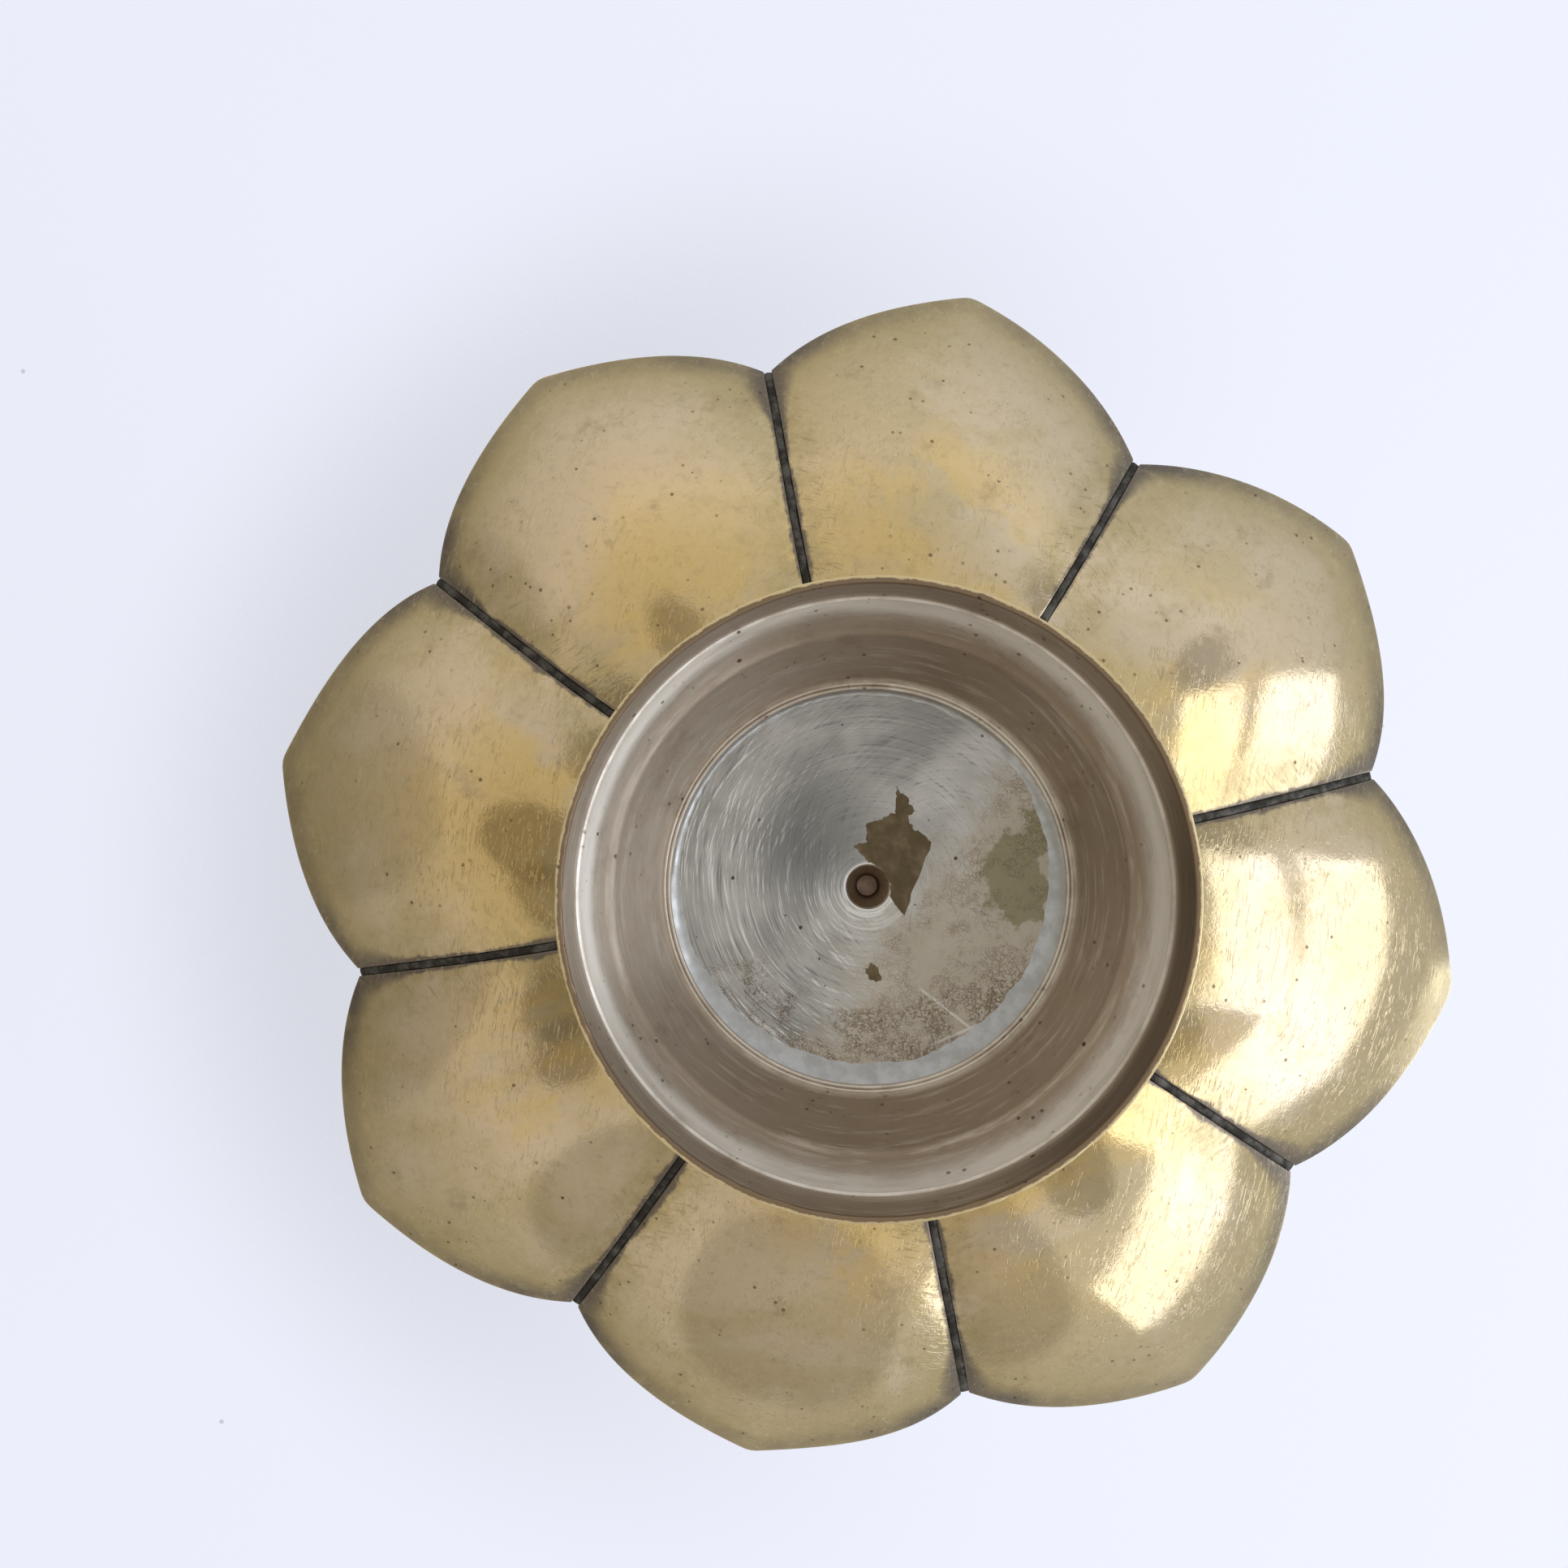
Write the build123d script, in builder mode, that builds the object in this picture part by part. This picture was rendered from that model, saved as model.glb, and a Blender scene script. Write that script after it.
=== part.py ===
from build123d import *
import os
from math import asin, atan2, cos, radians, sin, sqrt, tan

# Brass lotus oil lamp: eight domed petals soldered edge to edge round a turned base disc, on a
# flared foot. Millimetres, +Z up. The foot's rim stands on Z = 0, and the lamp's axis is the Z axis.
# The first petal's point lies on +X.

# Bowl
petal_count = 8
tip_radius = 80.5  # axis to a petal's point
notch_depth = 11.5  # from the circle of the points in to the circle of the notches
tip_height = 44.2  # a petal's point, on its outer face
hub_rise = 1.6  # a petal's outer face at the hub, above the disc's underside
sheet = 1.3  # thickness of a petal
crown_start_angle = 3.0  # slope of a petal's centre line where it leaves the hub
lobe_angle_hub = 8.0  # slope across a petal at its side edge, beside the hub
lobe_angle_notch = 31.0  # the same at the notch
tip_edge_angle = 21.0  # turn of the outline at the point, from square to the petal's axis
notch_edge_angle = 57.0  # the same at the notch
shoulder_bulge = 2.5  # how far the outline stands outside the chord from point to notch

# Solder
seam_width = 1.0
seam_recess = 0.25  # how far a seam lies inside the petals' outer faces
seam_crown = 0.3  # how far it stands above their inner faces
hub_gap = 1.0  # radial gap between disc and petals, filled with solder
hub_solder_drop = 0.35  # how far the hub's solder hangs below the petals' outer faces
foot_fillet_width = 2.4
foot_fillet_height = 0.5
section_count = 8  # sections that a petal's faces are lofted through
section_margin = 1.5  # how far a section runs on past what is cut off

# Base disc, whose underside is the floor seen inside the foot
disc_overhang = 1.3  # past the foot's neck
disc_thickness = 4.0
disc_edge_round = 0.6
centre_mouth_diameter = 5.3
centre_pilot_diameter = 2.5
centre_cone_angle = 60.0
centre_pilot_depth = 0.4  # below the cone

# Foot
foot_height = 22.0
foot_radius = 35.1
rim_land = 0.8  # width of the flat ring that the lamp stands on
rim_band_height = 2.6
rim_band_step = 0.3
lip_depth = 6.0  # steep band inside the rim
lip_draft = 0.7
step_width = 0.4
crease_share = 0.587  # place of the crease in the inner wall, as a share of its run from bead to step
foot_wall = 1.7  # measured along the radius
wall_flare = 27.0  # lean of the inner wall above the crease
cove_flare = 42.0  # lean of the inner wall just below the crease
lip_flare = 12.0  # lean of the inner wall where it meets the step
neck_flare = 18.0  # lean of the outer wall at the neck
bead_radius = 0.5
bead_drop = 1.0  # from the disc's underside down to the bead
floor_radius = 24.0
land_break = 0.12  # broken edges of the rim land

# Derived values
half_pitch = radians(180 / petal_count)
pitch = 360 / petal_count
notch_radius = tip_radius - notch_depth
bead_outer = floor_radius + 2 * bead_radius
bead_height = foot_height - bead_drop
neck_radius = bead_outer + foot_wall
disc_radius = neck_radius + disc_overhang
disc_top = foot_height + disc_thickness
hub_radius = disc_radius + hub_gap
hub_height = foot_height + hub_rise
crown_chord_angle = atan2(tip_height - hub_height, tip_radius - hub_radius)
crown_end = 2 * crown_chord_angle - radians(crown_start_angle)
crown_start = radians(crown_start_angle)
crown_radius = (tip_radius - hub_radius) / (sin(crown_end) - sin(crown_start))
lobe_hub_x = hub_radius * cos(half_pitch)
lobe_notch_x = notch_radius * cos(half_pitch)


def crown_slope(x):
    """Slope of a petal's centre line at a distance x along the petal."""
    return asin(sin(crown_start) + (x - hub_radius) / crown_radius)


def crown_height(x):
    """Height of a petal's outer face on its centre line."""
    return hub_height + crown_radius * (cos(crown_start) - cos(crown_slope(x)))


def wall_across(x):
    """Sheet thickness as it shows in a section square to the petal's axis."""
    return sheet / cos(crown_slope(x))


def lobe_radius(x):
    """Radius of the arc that a petal's outer face makes in a section at x."""
    share = (x - lobe_hub_x) / (lobe_notch_x - lobe_hub_x)
    lobe_angle = lobe_angle_hub + share * (lobe_angle_notch - lobe_angle_hub)
    return x * tan(half_pitch) / sin(radians(lobe_angle))


def outer_height(x, y):
    """Height of a petal's outer face."""
    return crown_height(x) + lobe_radius(x) - sqrt(lobe_radius(x) ** 2 - y**2)


def inner_height(x, y):
    """Height of a petal's inner face."""
    inner_radius = lobe_radius(x) - wall_across(x)
    return crown_height(x) + lobe_radius(x) - sqrt(inner_radius**2 - y**2)


def seam_side_point(reach):
    """Point on a petal's side face, at a given distance along the seam."""
    x = reach * cos(half_pitch) + seam_width / 2 * sin(half_pitch)
    y = reach * sin(half_pitch) - seam_width / 2 * cos(half_pitch)
    return (x, y)


os.makedirs("parts", exist_ok=True)

# Petals: thin arc-shaped sections lofted from the hub to the point, then cut to the outline.
first_station = lobe_hub_x - section_margin
last_station = tip_radius + section_margin
station_step = (last_station - first_station) / (section_count - 1)
stations = [first_station + index * station_step for index in range(section_count)]

tip = Vector(tip_radius, 0)
notch = Vector(*seam_side_point(notch_radius))
tip_turn = radians(tip_edge_angle)
notch_turn = radians(notch_edge_angle)
chord = notch - tip
shoulder = tip + chord * 0.5 + Vector(chord.Y, -chord.X).normalized() * shoulder_bulge
root_reach = sqrt(hub_radius**2 - (seam_width / 2) ** 2)
root = Vector(*seam_side_point(root_reach))

with BuildPart() as petal_blank:
    for station in stations:
        reach_across = station * tan(half_pitch) + section_margin
        with BuildSketch(Plane.YZ.offset(station)):
            with BuildLine():
                outer = ThreePointArc(
                    (-reach_across, outer_height(station, reach_across)),
                    (0, outer_height(station, 0)),
                    (reach_across, outer_height(station, reach_across)),
                )
                inner = ThreePointArc(
                    (-reach_across, inner_height(station, reach_across)),
                    (0, inner_height(station, 0)),
                    (reach_across, inner_height(station, reach_across)),
                )
                Line(outer @ 0, inner @ 0)
                Line(outer @ 1, inner @ 1)
            make_face()
    loft()
    with BuildSketch(Plane.XY):
        with BuildLine():
            Spline(
                tip,
                shoulder,
                notch,
                tangents=[
                    (-sin(tip_turn), cos(tip_turn)),
                    (-sin(notch_turn), cos(notch_turn)),
                ],
            )
            Line(notch, root)
            mirror(about=Plane.XZ)
            ThreePointArc(root, (hub_radius, 0), (root.X, -root.Y))
        make_face()
    extrude(amount=2 * tip_height, mode=Mode.INTERSECT)

for index in range(petal_count):
    with BuildPart() as petal:
        add(petal_blank.part, rotation=(0, 0, index * pitch))
    petal.part.label = f"petal_{index + 1}"
    export_step(petal.part, f"parts/petal_{index + 1}.step")

# Seams: strips of solder that fill the gap between two petals' flat sides.
seam_start = root_reach - section_margin
seam_step = (notch_radius - seam_start) / section_count
seam_reaches = [seam_start + index * seam_step for index in range(section_count + 1)]
seam_direction = (cos(half_pitch), sin(half_pitch), 0)
seam_normal = (sin(half_pitch), -cos(half_pitch), 0)
seam_under = [(reach, outer_height(*seam_side_point(reach)) + seam_recess) for reach in seam_reaches]
seam_over = [(reach, inner_height(*seam_side_point(reach)) + seam_crown) for reach in seam_reaches]

with BuildPart() as seam_blank:
    with BuildSketch(Plane(origin=(0, 0, 0), x_dir=seam_direction, z_dir=seam_normal)):
        with BuildLine():
            under = Spline(*seam_under)
            over = Spline(*seam_over)
            Line(under @ 0, over @ 0)
            Line(under @ 1, over @ 1)
        make_face()
    extrude(amount=seam_width / 2, both=True)
    with BuildSketch(Plane.XY):
        Circle(hub_radius)
    extrude(amount=2 * tip_height, mode=Mode.SUBTRACT)

for index in range(petal_count):
    with BuildPart() as seam:
        add(seam_blank.part, rotation=(0, 0, index * pitch))
    seam.part.label = f"seam_solder_{index + 1}"
    export_step(seam.part, f"parts/seam_solder_{index + 1}.step")

# Base disc with the lathe centre hole in its underside.
centre_mouth = centre_mouth_diameter / 2
centre_pilot = centre_pilot_diameter / 2
centre_cone_depth = (centre_mouth - centre_pilot) / tan(radians(centre_cone_angle / 2))

with BuildPart() as base_disc:
    with BuildSketch(Plane.XZ):
        with BuildLine():
            Polyline(
                (0, foot_height + centre_cone_depth + centre_pilot_depth),
                (centre_pilot, foot_height + centre_cone_depth + centre_pilot_depth),
                (centre_pilot, foot_height + centre_cone_depth),
                (centre_mouth, foot_height),
                (disc_radius, foot_height),
                (disc_radius, disc_top),
                (0, disc_top),
                close=True,
            )
        make_face()
    revolve(axis=Axis.Z)
    upper_edge = base_disc.edges().filter_by(GeomType.CIRCLE).group_by(Axis.Z)[-1].sort_by(SortBy.RADIUS)[-1]
    fillet(upper_edge, radius=disc_edge_round)
base_disc.part.label = "base_disc"
export_step(base_disc.part, "parts/base_disc.step")

# Foot: one turned profile. The outer wall follows the inner one at a fixed distance.
rim_inner = foot_radius - rim_land
lip_radius = rim_inner - lip_draft
trough_radius = lip_radius - step_width
band_radius = foot_radius - rim_band_step
crease_radius = bead_outer + crease_share * (trough_radius - bead_outer)
crease_height = bead_height + crease_share * (lip_depth - bead_height)


def outward_and_down(angle):
    """Direction in the foot's profile, at an angle from straight down towards the rim."""
    return (sin(radians(angle)), -cos(radians(angle)))


with BuildPart() as pedestal_foot:
    with BuildSketch(Plane.XZ):
        with BuildLine():
            Line((floor_radius, foot_height), (floor_radius, bead_height))
            ThreePointArc(
                (floor_radius, bead_height),
                (floor_radius + bead_radius, bead_height - bead_radius),
                (bead_outer, bead_height),
            )
            Spline(
                (bead_outer, bead_height),
                (crease_radius, crease_height),
                tangents=[outward_and_down(wall_flare), outward_and_down(wall_flare)],
            )
            Spline(
                (crease_radius, crease_height),
                (trough_radius, lip_depth),
                tangents=[outward_and_down(cove_flare), outward_and_down(lip_flare)],
            )
            Polyline(
                (trough_radius, lip_depth),
                (lip_radius, lip_depth),
                (rim_inner, land_break),
                (rim_inner + land_break, 0),
                (foot_radius - land_break, 0),
                (foot_radius, land_break),
                (foot_radius, rim_band_height),
                (band_radius, rim_band_height + rim_band_step),
                (band_radius, lip_depth),
            )
            Spline(
                (neck_radius, bead_height),
                (crease_radius + foot_wall, crease_height),
                (band_radius, lip_depth),
                tangents=[outward_and_down(neck_flare), outward_and_down(0)],
            )
            Polyline(
                (neck_radius, bead_height),
                (neck_radius, foot_height),
                (floor_radius, foot_height),
            )
        make_face()
    revolve(axis=Axis.Z)
pedestal_foot.part.label = "pedestal_foot"
export_step(pedestal_foot.part, "parts/pedestal_foot.step")

# Solder ring in the corner between the foot's inner wall and the disc's underside.
with BuildPart() as foot_solder:
    with BuildSketch(Plane.XZ):
        with BuildLine():
            Polyline(
                (floor_radius, foot_height),
                (floor_radius, foot_height - foot_fillet_height),
                (floor_radius - foot_fillet_width, foot_height),
                close=True,
            )
        make_face()
    revolve(axis=Axis.Z)
foot_solder.part.label = "foot_solder"
export_step(foot_solder.part, "parts/foot_solder.step")

# Solder ring between the disc's edge and the petals' inner ends.
hub_solder_bottom = hub_height - hub_solder_drop
hub_solder_top = inner_height(*seam_side_point(root_reach)) + seam_crown

with BuildPart() as hub_solder:
    with BuildSketch(Plane.XZ):
        with BuildLine():
            Polyline(
                (disc_radius, hub_solder_bottom),
                (hub_radius, hub_solder_bottom),
                (hub_radius, hub_solder_top),
                (disc_radius, disc_top - disc_edge_round),
                close=True,
            )
        make_face()
    revolve(axis=Axis.Z)
hub_solder.part.label = "hub_solder"
export_step(hub_solder.part, "parts/hub_solder.step")
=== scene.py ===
"""Lotus oil lamp in aged brass: eight domed petals soldered round a turned disc, on a flared foot.

The sizes of the pieces are millimetres in the lamp's own frame: +Z up, the foot's rim on Z = 0, the axis on Z
and the first petal's point on +X. Each mesh is brought to metres when its piece is finished. The materials
work in metres in the same frame.
"""

import logging
import math
from dataclasses import dataclass, field
from enum import Enum
from typing import Sequence

import bmesh
import bpy
from mathutils import Matrix, Vector, noise
from mathutils.geometry import interpolate_bezier


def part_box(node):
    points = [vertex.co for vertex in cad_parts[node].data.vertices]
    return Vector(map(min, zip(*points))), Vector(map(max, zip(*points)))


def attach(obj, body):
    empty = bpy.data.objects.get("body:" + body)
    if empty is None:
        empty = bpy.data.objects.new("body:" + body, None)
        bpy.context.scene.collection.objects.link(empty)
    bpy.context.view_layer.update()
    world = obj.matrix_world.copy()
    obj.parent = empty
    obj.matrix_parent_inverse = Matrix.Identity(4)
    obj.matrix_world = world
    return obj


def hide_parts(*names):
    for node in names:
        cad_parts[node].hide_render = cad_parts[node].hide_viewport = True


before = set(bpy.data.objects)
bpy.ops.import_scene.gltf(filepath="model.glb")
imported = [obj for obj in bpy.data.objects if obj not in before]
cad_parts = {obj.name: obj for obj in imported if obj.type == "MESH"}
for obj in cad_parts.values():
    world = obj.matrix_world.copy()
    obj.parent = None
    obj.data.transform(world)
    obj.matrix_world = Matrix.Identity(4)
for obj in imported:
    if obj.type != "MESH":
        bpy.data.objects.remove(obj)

MM = 0.001
LOG = logging.getLogger("lotus_lamp")
Colour = tuple[float, float, float]
Point = tuple[float, float]
Profile = list[Point]
QUARTER_TURN = 0.25


class Slot(Enum):
    """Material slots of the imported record."""

    PETALS = "petal_brass"
    TURNED = "turned_brass"
    CASTING = "faced_casting"
    SOLDER = "solder"


# ---------------------------------------------------------------- frame and helpers


@dataclass(frozen=True)
class FrameSizes:
    """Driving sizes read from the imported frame, in millimetres."""

    tip_radius: float
    foot_radius: float
    foot_height: float
    floor_radius: float
    disc_radius: float
    disc_top: float
    hub_radius: float

    @classmethod
    def read(cls) -> "FrameSizes":
        """Reads the sizes from the boxes of the CAD nodes."""
        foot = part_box("pedestal_foot")[1] / MM
        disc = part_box("base_disc")[1] / MM
        return cls(
            tip_radius=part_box("petal_1")[1].x / MM,
            foot_radius=foot.x,
            foot_height=foot.z,
            floor_radius=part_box("foot_solder")[1].x / MM,
            disc_radius=disc.x,
            disc_top=disc.z,
            hub_radius=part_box("hub_solder")[1].x / MM,
        )


@dataclass(frozen=True)
class ViewFrame:
    """Where the lamp is looked at from: straight below, turned about its axis and a little off it."""

    turn_deg: float = -11.36
    beside: float = -10.25
    above: float = 12.53
    distance: float = 170.0
    lens: float = 36.149
    sensor: float = 36.0

    @property
    def right(self) -> Vector:
        """Direction in the lamp's frame that points to the right of the view."""
        turn = math.radians(self.turn_deg)
        return Vector((math.cos(turn), math.sin(turn), 0.0))

    @property
    def up(self) -> Vector:
        """Direction in the lamp's frame that points to the top of the view."""
        turn = math.radians(self.turn_deg)
        return Vector((math.sin(turn), -math.cos(turn), 0.0))

    @property
    def eye(self) -> Vector:
        """Place of the camera in millimetres."""
        return self.right * self.beside + self.up * self.above - Vector((0.0, 0.0, self.distance))

    def toward(self, bearing_deg: float, spread_deg: float) -> Vector:
        """Direction away from the lamp.

        Args:
            bearing_deg: Turn in the view, anticlockwise from its right.
            spread_deg: Angle from straight down.

        Returns:
            A unit vector in the lamp's frame.
        """
        bearing, spread = math.radians(bearing_deg), math.radians(spread_deg)
        level = self.right * math.cos(bearing) + self.up * math.sin(bearing)
        return level * math.sin(spread) - Vector((0.0, 0.0, math.cos(spread)))

    def on_floor(self, across: float, upward: float) -> Vector:
        """Point at a height of 0, given along the view's right and up from the lamp's axis."""
        return self.right * across + self.up * upward


VIEW = ViewFrame()


def smooth(value: float) -> float:
    """Smooth step of a value held between 0 and 1."""
    value = min(max(value, 0.0), 1.0)
    return value * value * (3.0 - 2.0 * value)


def finish_piece(
    bm: bmesh.types.BMesh,
    name: str,
    slot: Slot,
    materials: Sequence[bpy.types.Material],
    nodes: Sequence[str],
    sharp_deg: float = 40.0,
) -> bpy.types.Object:
    """Turns a mesh in millimetres into a piece that rides on the lamp.

    Args:
        bm: The mesh, which is freed here.
        name: Name of the piece.
        slot: Material slot of the record; not used.
        materials: Materials in the order of the mesh's material numbers.
        nodes: CAD nodes that the piece stands for.
        sharp_deg: Edges with a larger turn than this stay crisp.

    Returns:
        The new object, at the origin.
    """
    bmesh.ops.recalc_face_normals(bm, faces=bm.faces)
    bmesh.ops.scale(bm, vec=(MM, MM, MM), verts=bm.verts)
    mesh = bpy.data.meshes.new(name)
    bm.to_mesh(mesh)
    bm.free()
    mesh.shade_smooth()
    mesh.set_sharp_from_angle(angle=math.radians(sharp_deg))
    for material in materials:
        mesh.materials.append(material)
    piece = bpy.data.objects.new(name, mesh)
    bpy.context.scene.collection.objects.link(piece)
    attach(piece, "root")
    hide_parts(*nodes)
    LOG.info("%s: %d faces", name, len(mesh.polygons))
    return piece


def spin_profile(profile: Profile, steps: int, closed: bool) -> bmesh.types.BMesh:
    """Turns a profile about the lamp's axis.

    Args:
        profile: Points (radius, height) in order.
        steps: Divisions of the full turn.
        closed: Whether the last point joins the first.

    Returns:
        The turned mesh, with its poles merged.
    """
    bm = bmesh.new()
    verts = [bm.verts.new((radius, 0.0, height)) for radius, height in profile]
    edges = [bm.edges.new(pair) for pair in zip(verts, verts[1:])]
    if closed:
        edges.append(bm.edges.new((verts[-1], verts[0])))
    bmesh.ops.spin(
        bm, geom=verts + edges, cent=(0, 0, 0), axis=(0, 0, 1), angle=math.tau, steps=steps, use_merge=True
    )
    bmesh.ops.remove_doubles(bm, verts=bm.verts, dist=1e-4)
    bmesh.ops.recalc_face_normals(bm, faces=bm.faces)
    return bm


def curve(start: Point, start_lean: float, end: Point, end_lean: float, count: int) -> Profile:
    """Smooth stretch of a profile between two points.

    Args:
        start: First point (radius, height).
        start_lean: Lean outward from straight down at the first point, in degrees.
        end: Last point.
        end_lean: The same at the last point.
        count: Number of points.

    Returns:
        Points from start to end.
    """
    first, last = Vector((*start, 0.0)), Vector((*end, 0.0))
    pull = (last - first).length / 3.0
    lean_1, lean_2 = math.radians(start_lean), math.radians(end_lean)
    handle_1 = first + Vector((math.sin(lean_1), -math.cos(lean_1), 0.0)) * pull
    handle_2 = last - Vector((math.sin(lean_2), -math.cos(lean_2), 0.0)) * pull
    return [(p.x, p.y) for p in interpolate_bezier(first, handle_1, handle_2, last, count)]


def arc(centre: Point, radius: float, start: float, end: float, count: int) -> Profile:
    """Points of an arc in a profile, with its angles in degrees from the outward direction."""
    angles = [math.radians(start + (end - start) * step / (count - 1)) for step in range(count)]
    return [(centre[0] + radius * math.cos(a), centre[1] + radius * math.sin(a)) for a in angles]


def straight(start: Point, end: Point, count: int) -> Profile:
    """Points between two profile points, with both ends left out."""
    shares = [step / (count + 1) for step in range(1, count + 1)]
    return [(start[0] + (end[0] - start[0]) * t, start[1] + (end[1] - start[1]) * t) for t in shares]


# ---------------------------------------------------------------- finishes


@dataclass(frozen=True)
class Field:
    """A number, vector or colour that varies over a surface, with the arithmetic that Math nodes do."""

    graph: "Graph"
    socket: bpy.types.NodeSocket

    def __add__(self, other: "Value") -> "Field":
        """Sum of the two."""
        return self.graph.math("ADD", self, other)

    def __radd__(self, other: "Value") -> "Field":
        """Sum of a number and this."""
        return self.graph.math("ADD", other, self)

    def __sub__(self, other: "Value") -> "Field":
        """This less the other."""
        return self.graph.math("SUBTRACT", self, other)

    def __mul__(self, other: "Value") -> "Field":
        """Product of the two."""
        return self.graph.math("MULTIPLY", self, other)

    def __truediv__(self, other: "Value") -> "Field":
        """This divided by the other."""
        return self.graph.math("DIVIDE", self, other)

    def __abs__(self) -> "Field":
        """Distance from 0."""
        return self.graph.math("ABSOLUTE", self)


Value = float | Field


class Graph:
    """A node tree with one short method for each kind of node that the finishes use."""

    def __init__(self, tree: bpy.types.NodeTree) -> None:
        """Takes the tree over and empties it."""
        self.tree = tree
        tree.nodes.clear()

    def node(self, kind: str, **settings: object) -> bpy.types.Node:
        """Adds a node and sets its properties."""
        made = self.tree.nodes.new(kind)
        for key, value in settings.items():
            setattr(made, key, value)
        return made

    def read(self, kind: str, output: str | int, **settings: object) -> Field:
        """Adds a node without inputs and returns one of its outputs."""
        return Field(self, self.node(kind, **settings).outputs[output])

    def feed(self, target: bpy.types.NodeSocket, value: object) -> None:
        """Links a field or a socket into a socket, or sets a plain value on it."""
        source = value.socket if isinstance(value, Field) else value
        if isinstance(source, bpy.types.NodeSocket):
            self.tree.links.new(source, target)
        elif isinstance(source, tuple) and len(source) == 3 and target.type == "RGBA":
            target.default_value = (*source, 1.0)
        else:
            target.default_value = source

    def fed(self, node: bpy.types.Node, values: Sequence[object], output: str | int = 0) -> Field:
        """Feeds a new node's first inputs, in order, and returns one of its outputs."""
        for target, value in zip(node.inputs, values):
            self.feed(target, value)
        return Field(self, node.outputs[output])

    def math(self, operation: str, *values: Value) -> Field:
        """Adds a Math node."""
        return self.fed(self.node("ShaderNodeMath", operation=operation), values)

    def larger(self, first: Value, second: Value) -> Field:
        """Larger of the two."""
        return self.math("MAXIMUM", first, second)

    def vector(self, operation: str, first: object, second: object = (0.0, 0.0, 0.0)) -> Field:
        """Adds a Vector Math node and returns its vector, or its value for a length or a dot product."""
        output = "Value" if operation in ("LENGTH", "DOT_PRODUCT") else "Vector"
        return self.fed(self.node("ShaderNodeVectorMath", operation=operation), (first, second), output)

    def combine(self, x: Value, y: Value, z: Value) -> Field:
        """Adds a Combine XYZ node."""
        return self.fed(self.node("ShaderNodeCombineXYZ"), (x, y, z))

    def about_axis(self, place: Field) -> tuple[Field, Field, Field, Field]:
        """Splits a place into x, y and z, and adds its distance from the lamp's axis."""
        split = self.node("ShaderNodeSeparateXYZ")
        self.feed(split.inputs[0], place)
        x, y, z = (Field(self, socket) for socket in split.outputs)
        return x, y, z, self.vector("LENGTH", self.combine(x, y, 0.0))

    def step(self, value: Field, low: float, high: float, start: float = 0.0, end: float = 1.0) -> Field:
        """Smooth step of a value between two limits."""
        made = self.node("ShaderNodeMapRange", interpolation_type="SMOOTHSTEP")
        return self.fed(made, (value, low, high, start, end))

    def noise(
        self, place: Field, scale: float, detail: float = 3.0, rough: float = 0.55, distortion: float = 0.0
    ) -> Field:
        """Adds a noise texture and returns its value."""
        made = self.node("ShaderNodeTexNoise")
        names = ("Vector", "Scale", "Detail", "Roughness", "Distortion")
        for name, value in zip(names, (place, scale, detail, rough, distortion)):
            self.feed(made.inputs[name], value)
        return Field(self, made.outputs[0])

    def cells(self, place: Field, scale: float) -> Field:
        """Adds a cell texture and returns the distance to the nearest cell's centre."""
        made = self.node("ShaderNodeTexVoronoi")
        self.feed(made.inputs["Vector"], place)
        self.feed(made.inputs["Scale"], scale)
        return Field(self, made.outputs["Distance"])

    def mix(self, share: Value, first: object, second: object, blend: str = "MIX") -> Field:
        """Mixes two colours."""
        made = self.node("ShaderNodeMix", data_type="RGBA", blend_type=blend)
        self.feed(made.inputs["Factor"], share)
        self.feed(made.inputs[6], first)
        self.feed(made.inputs[7], second)
        return Field(self, made.outputs[2])

    def layers(self, ground: object, *layers: tuple[Value, object]) -> Field:
        """Lays colours over a ground, each with its share."""
        for share, colour in layers:
            ground = self.mix(share, ground, colour)
        return ground

    def ramp(self, value: Field, stops: Sequence[tuple[float, Colour]]) -> Field:
        """Adds a colour ramp with the given stops."""
        made = self.node("ShaderNodeValToRGB")
        elements = made.color_ramp.elements
        while len(elements) < len(stops):
            elements.new(0.5)
        for element, (place, colour) in zip(elements, stops):
            element.position = place
            element.color = (*colour, 1.0)
        return self.fed(made, (value,))

    def bump(self, height: Field, depth: float, strength: float, below: Field | None = None) -> Field:
        """Adds a bump, with its full depth in metres."""
        made = self.node("ShaderNodeBump")
        self.feed(made.inputs["Strength"], strength)
        self.feed(made.inputs["Distance"], depth)
        self.feed(made.inputs["Height"], height)
        if below is not None:
            self.feed(made.inputs["Normal"], below)
        return Field(self, made.outputs[0])


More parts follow.
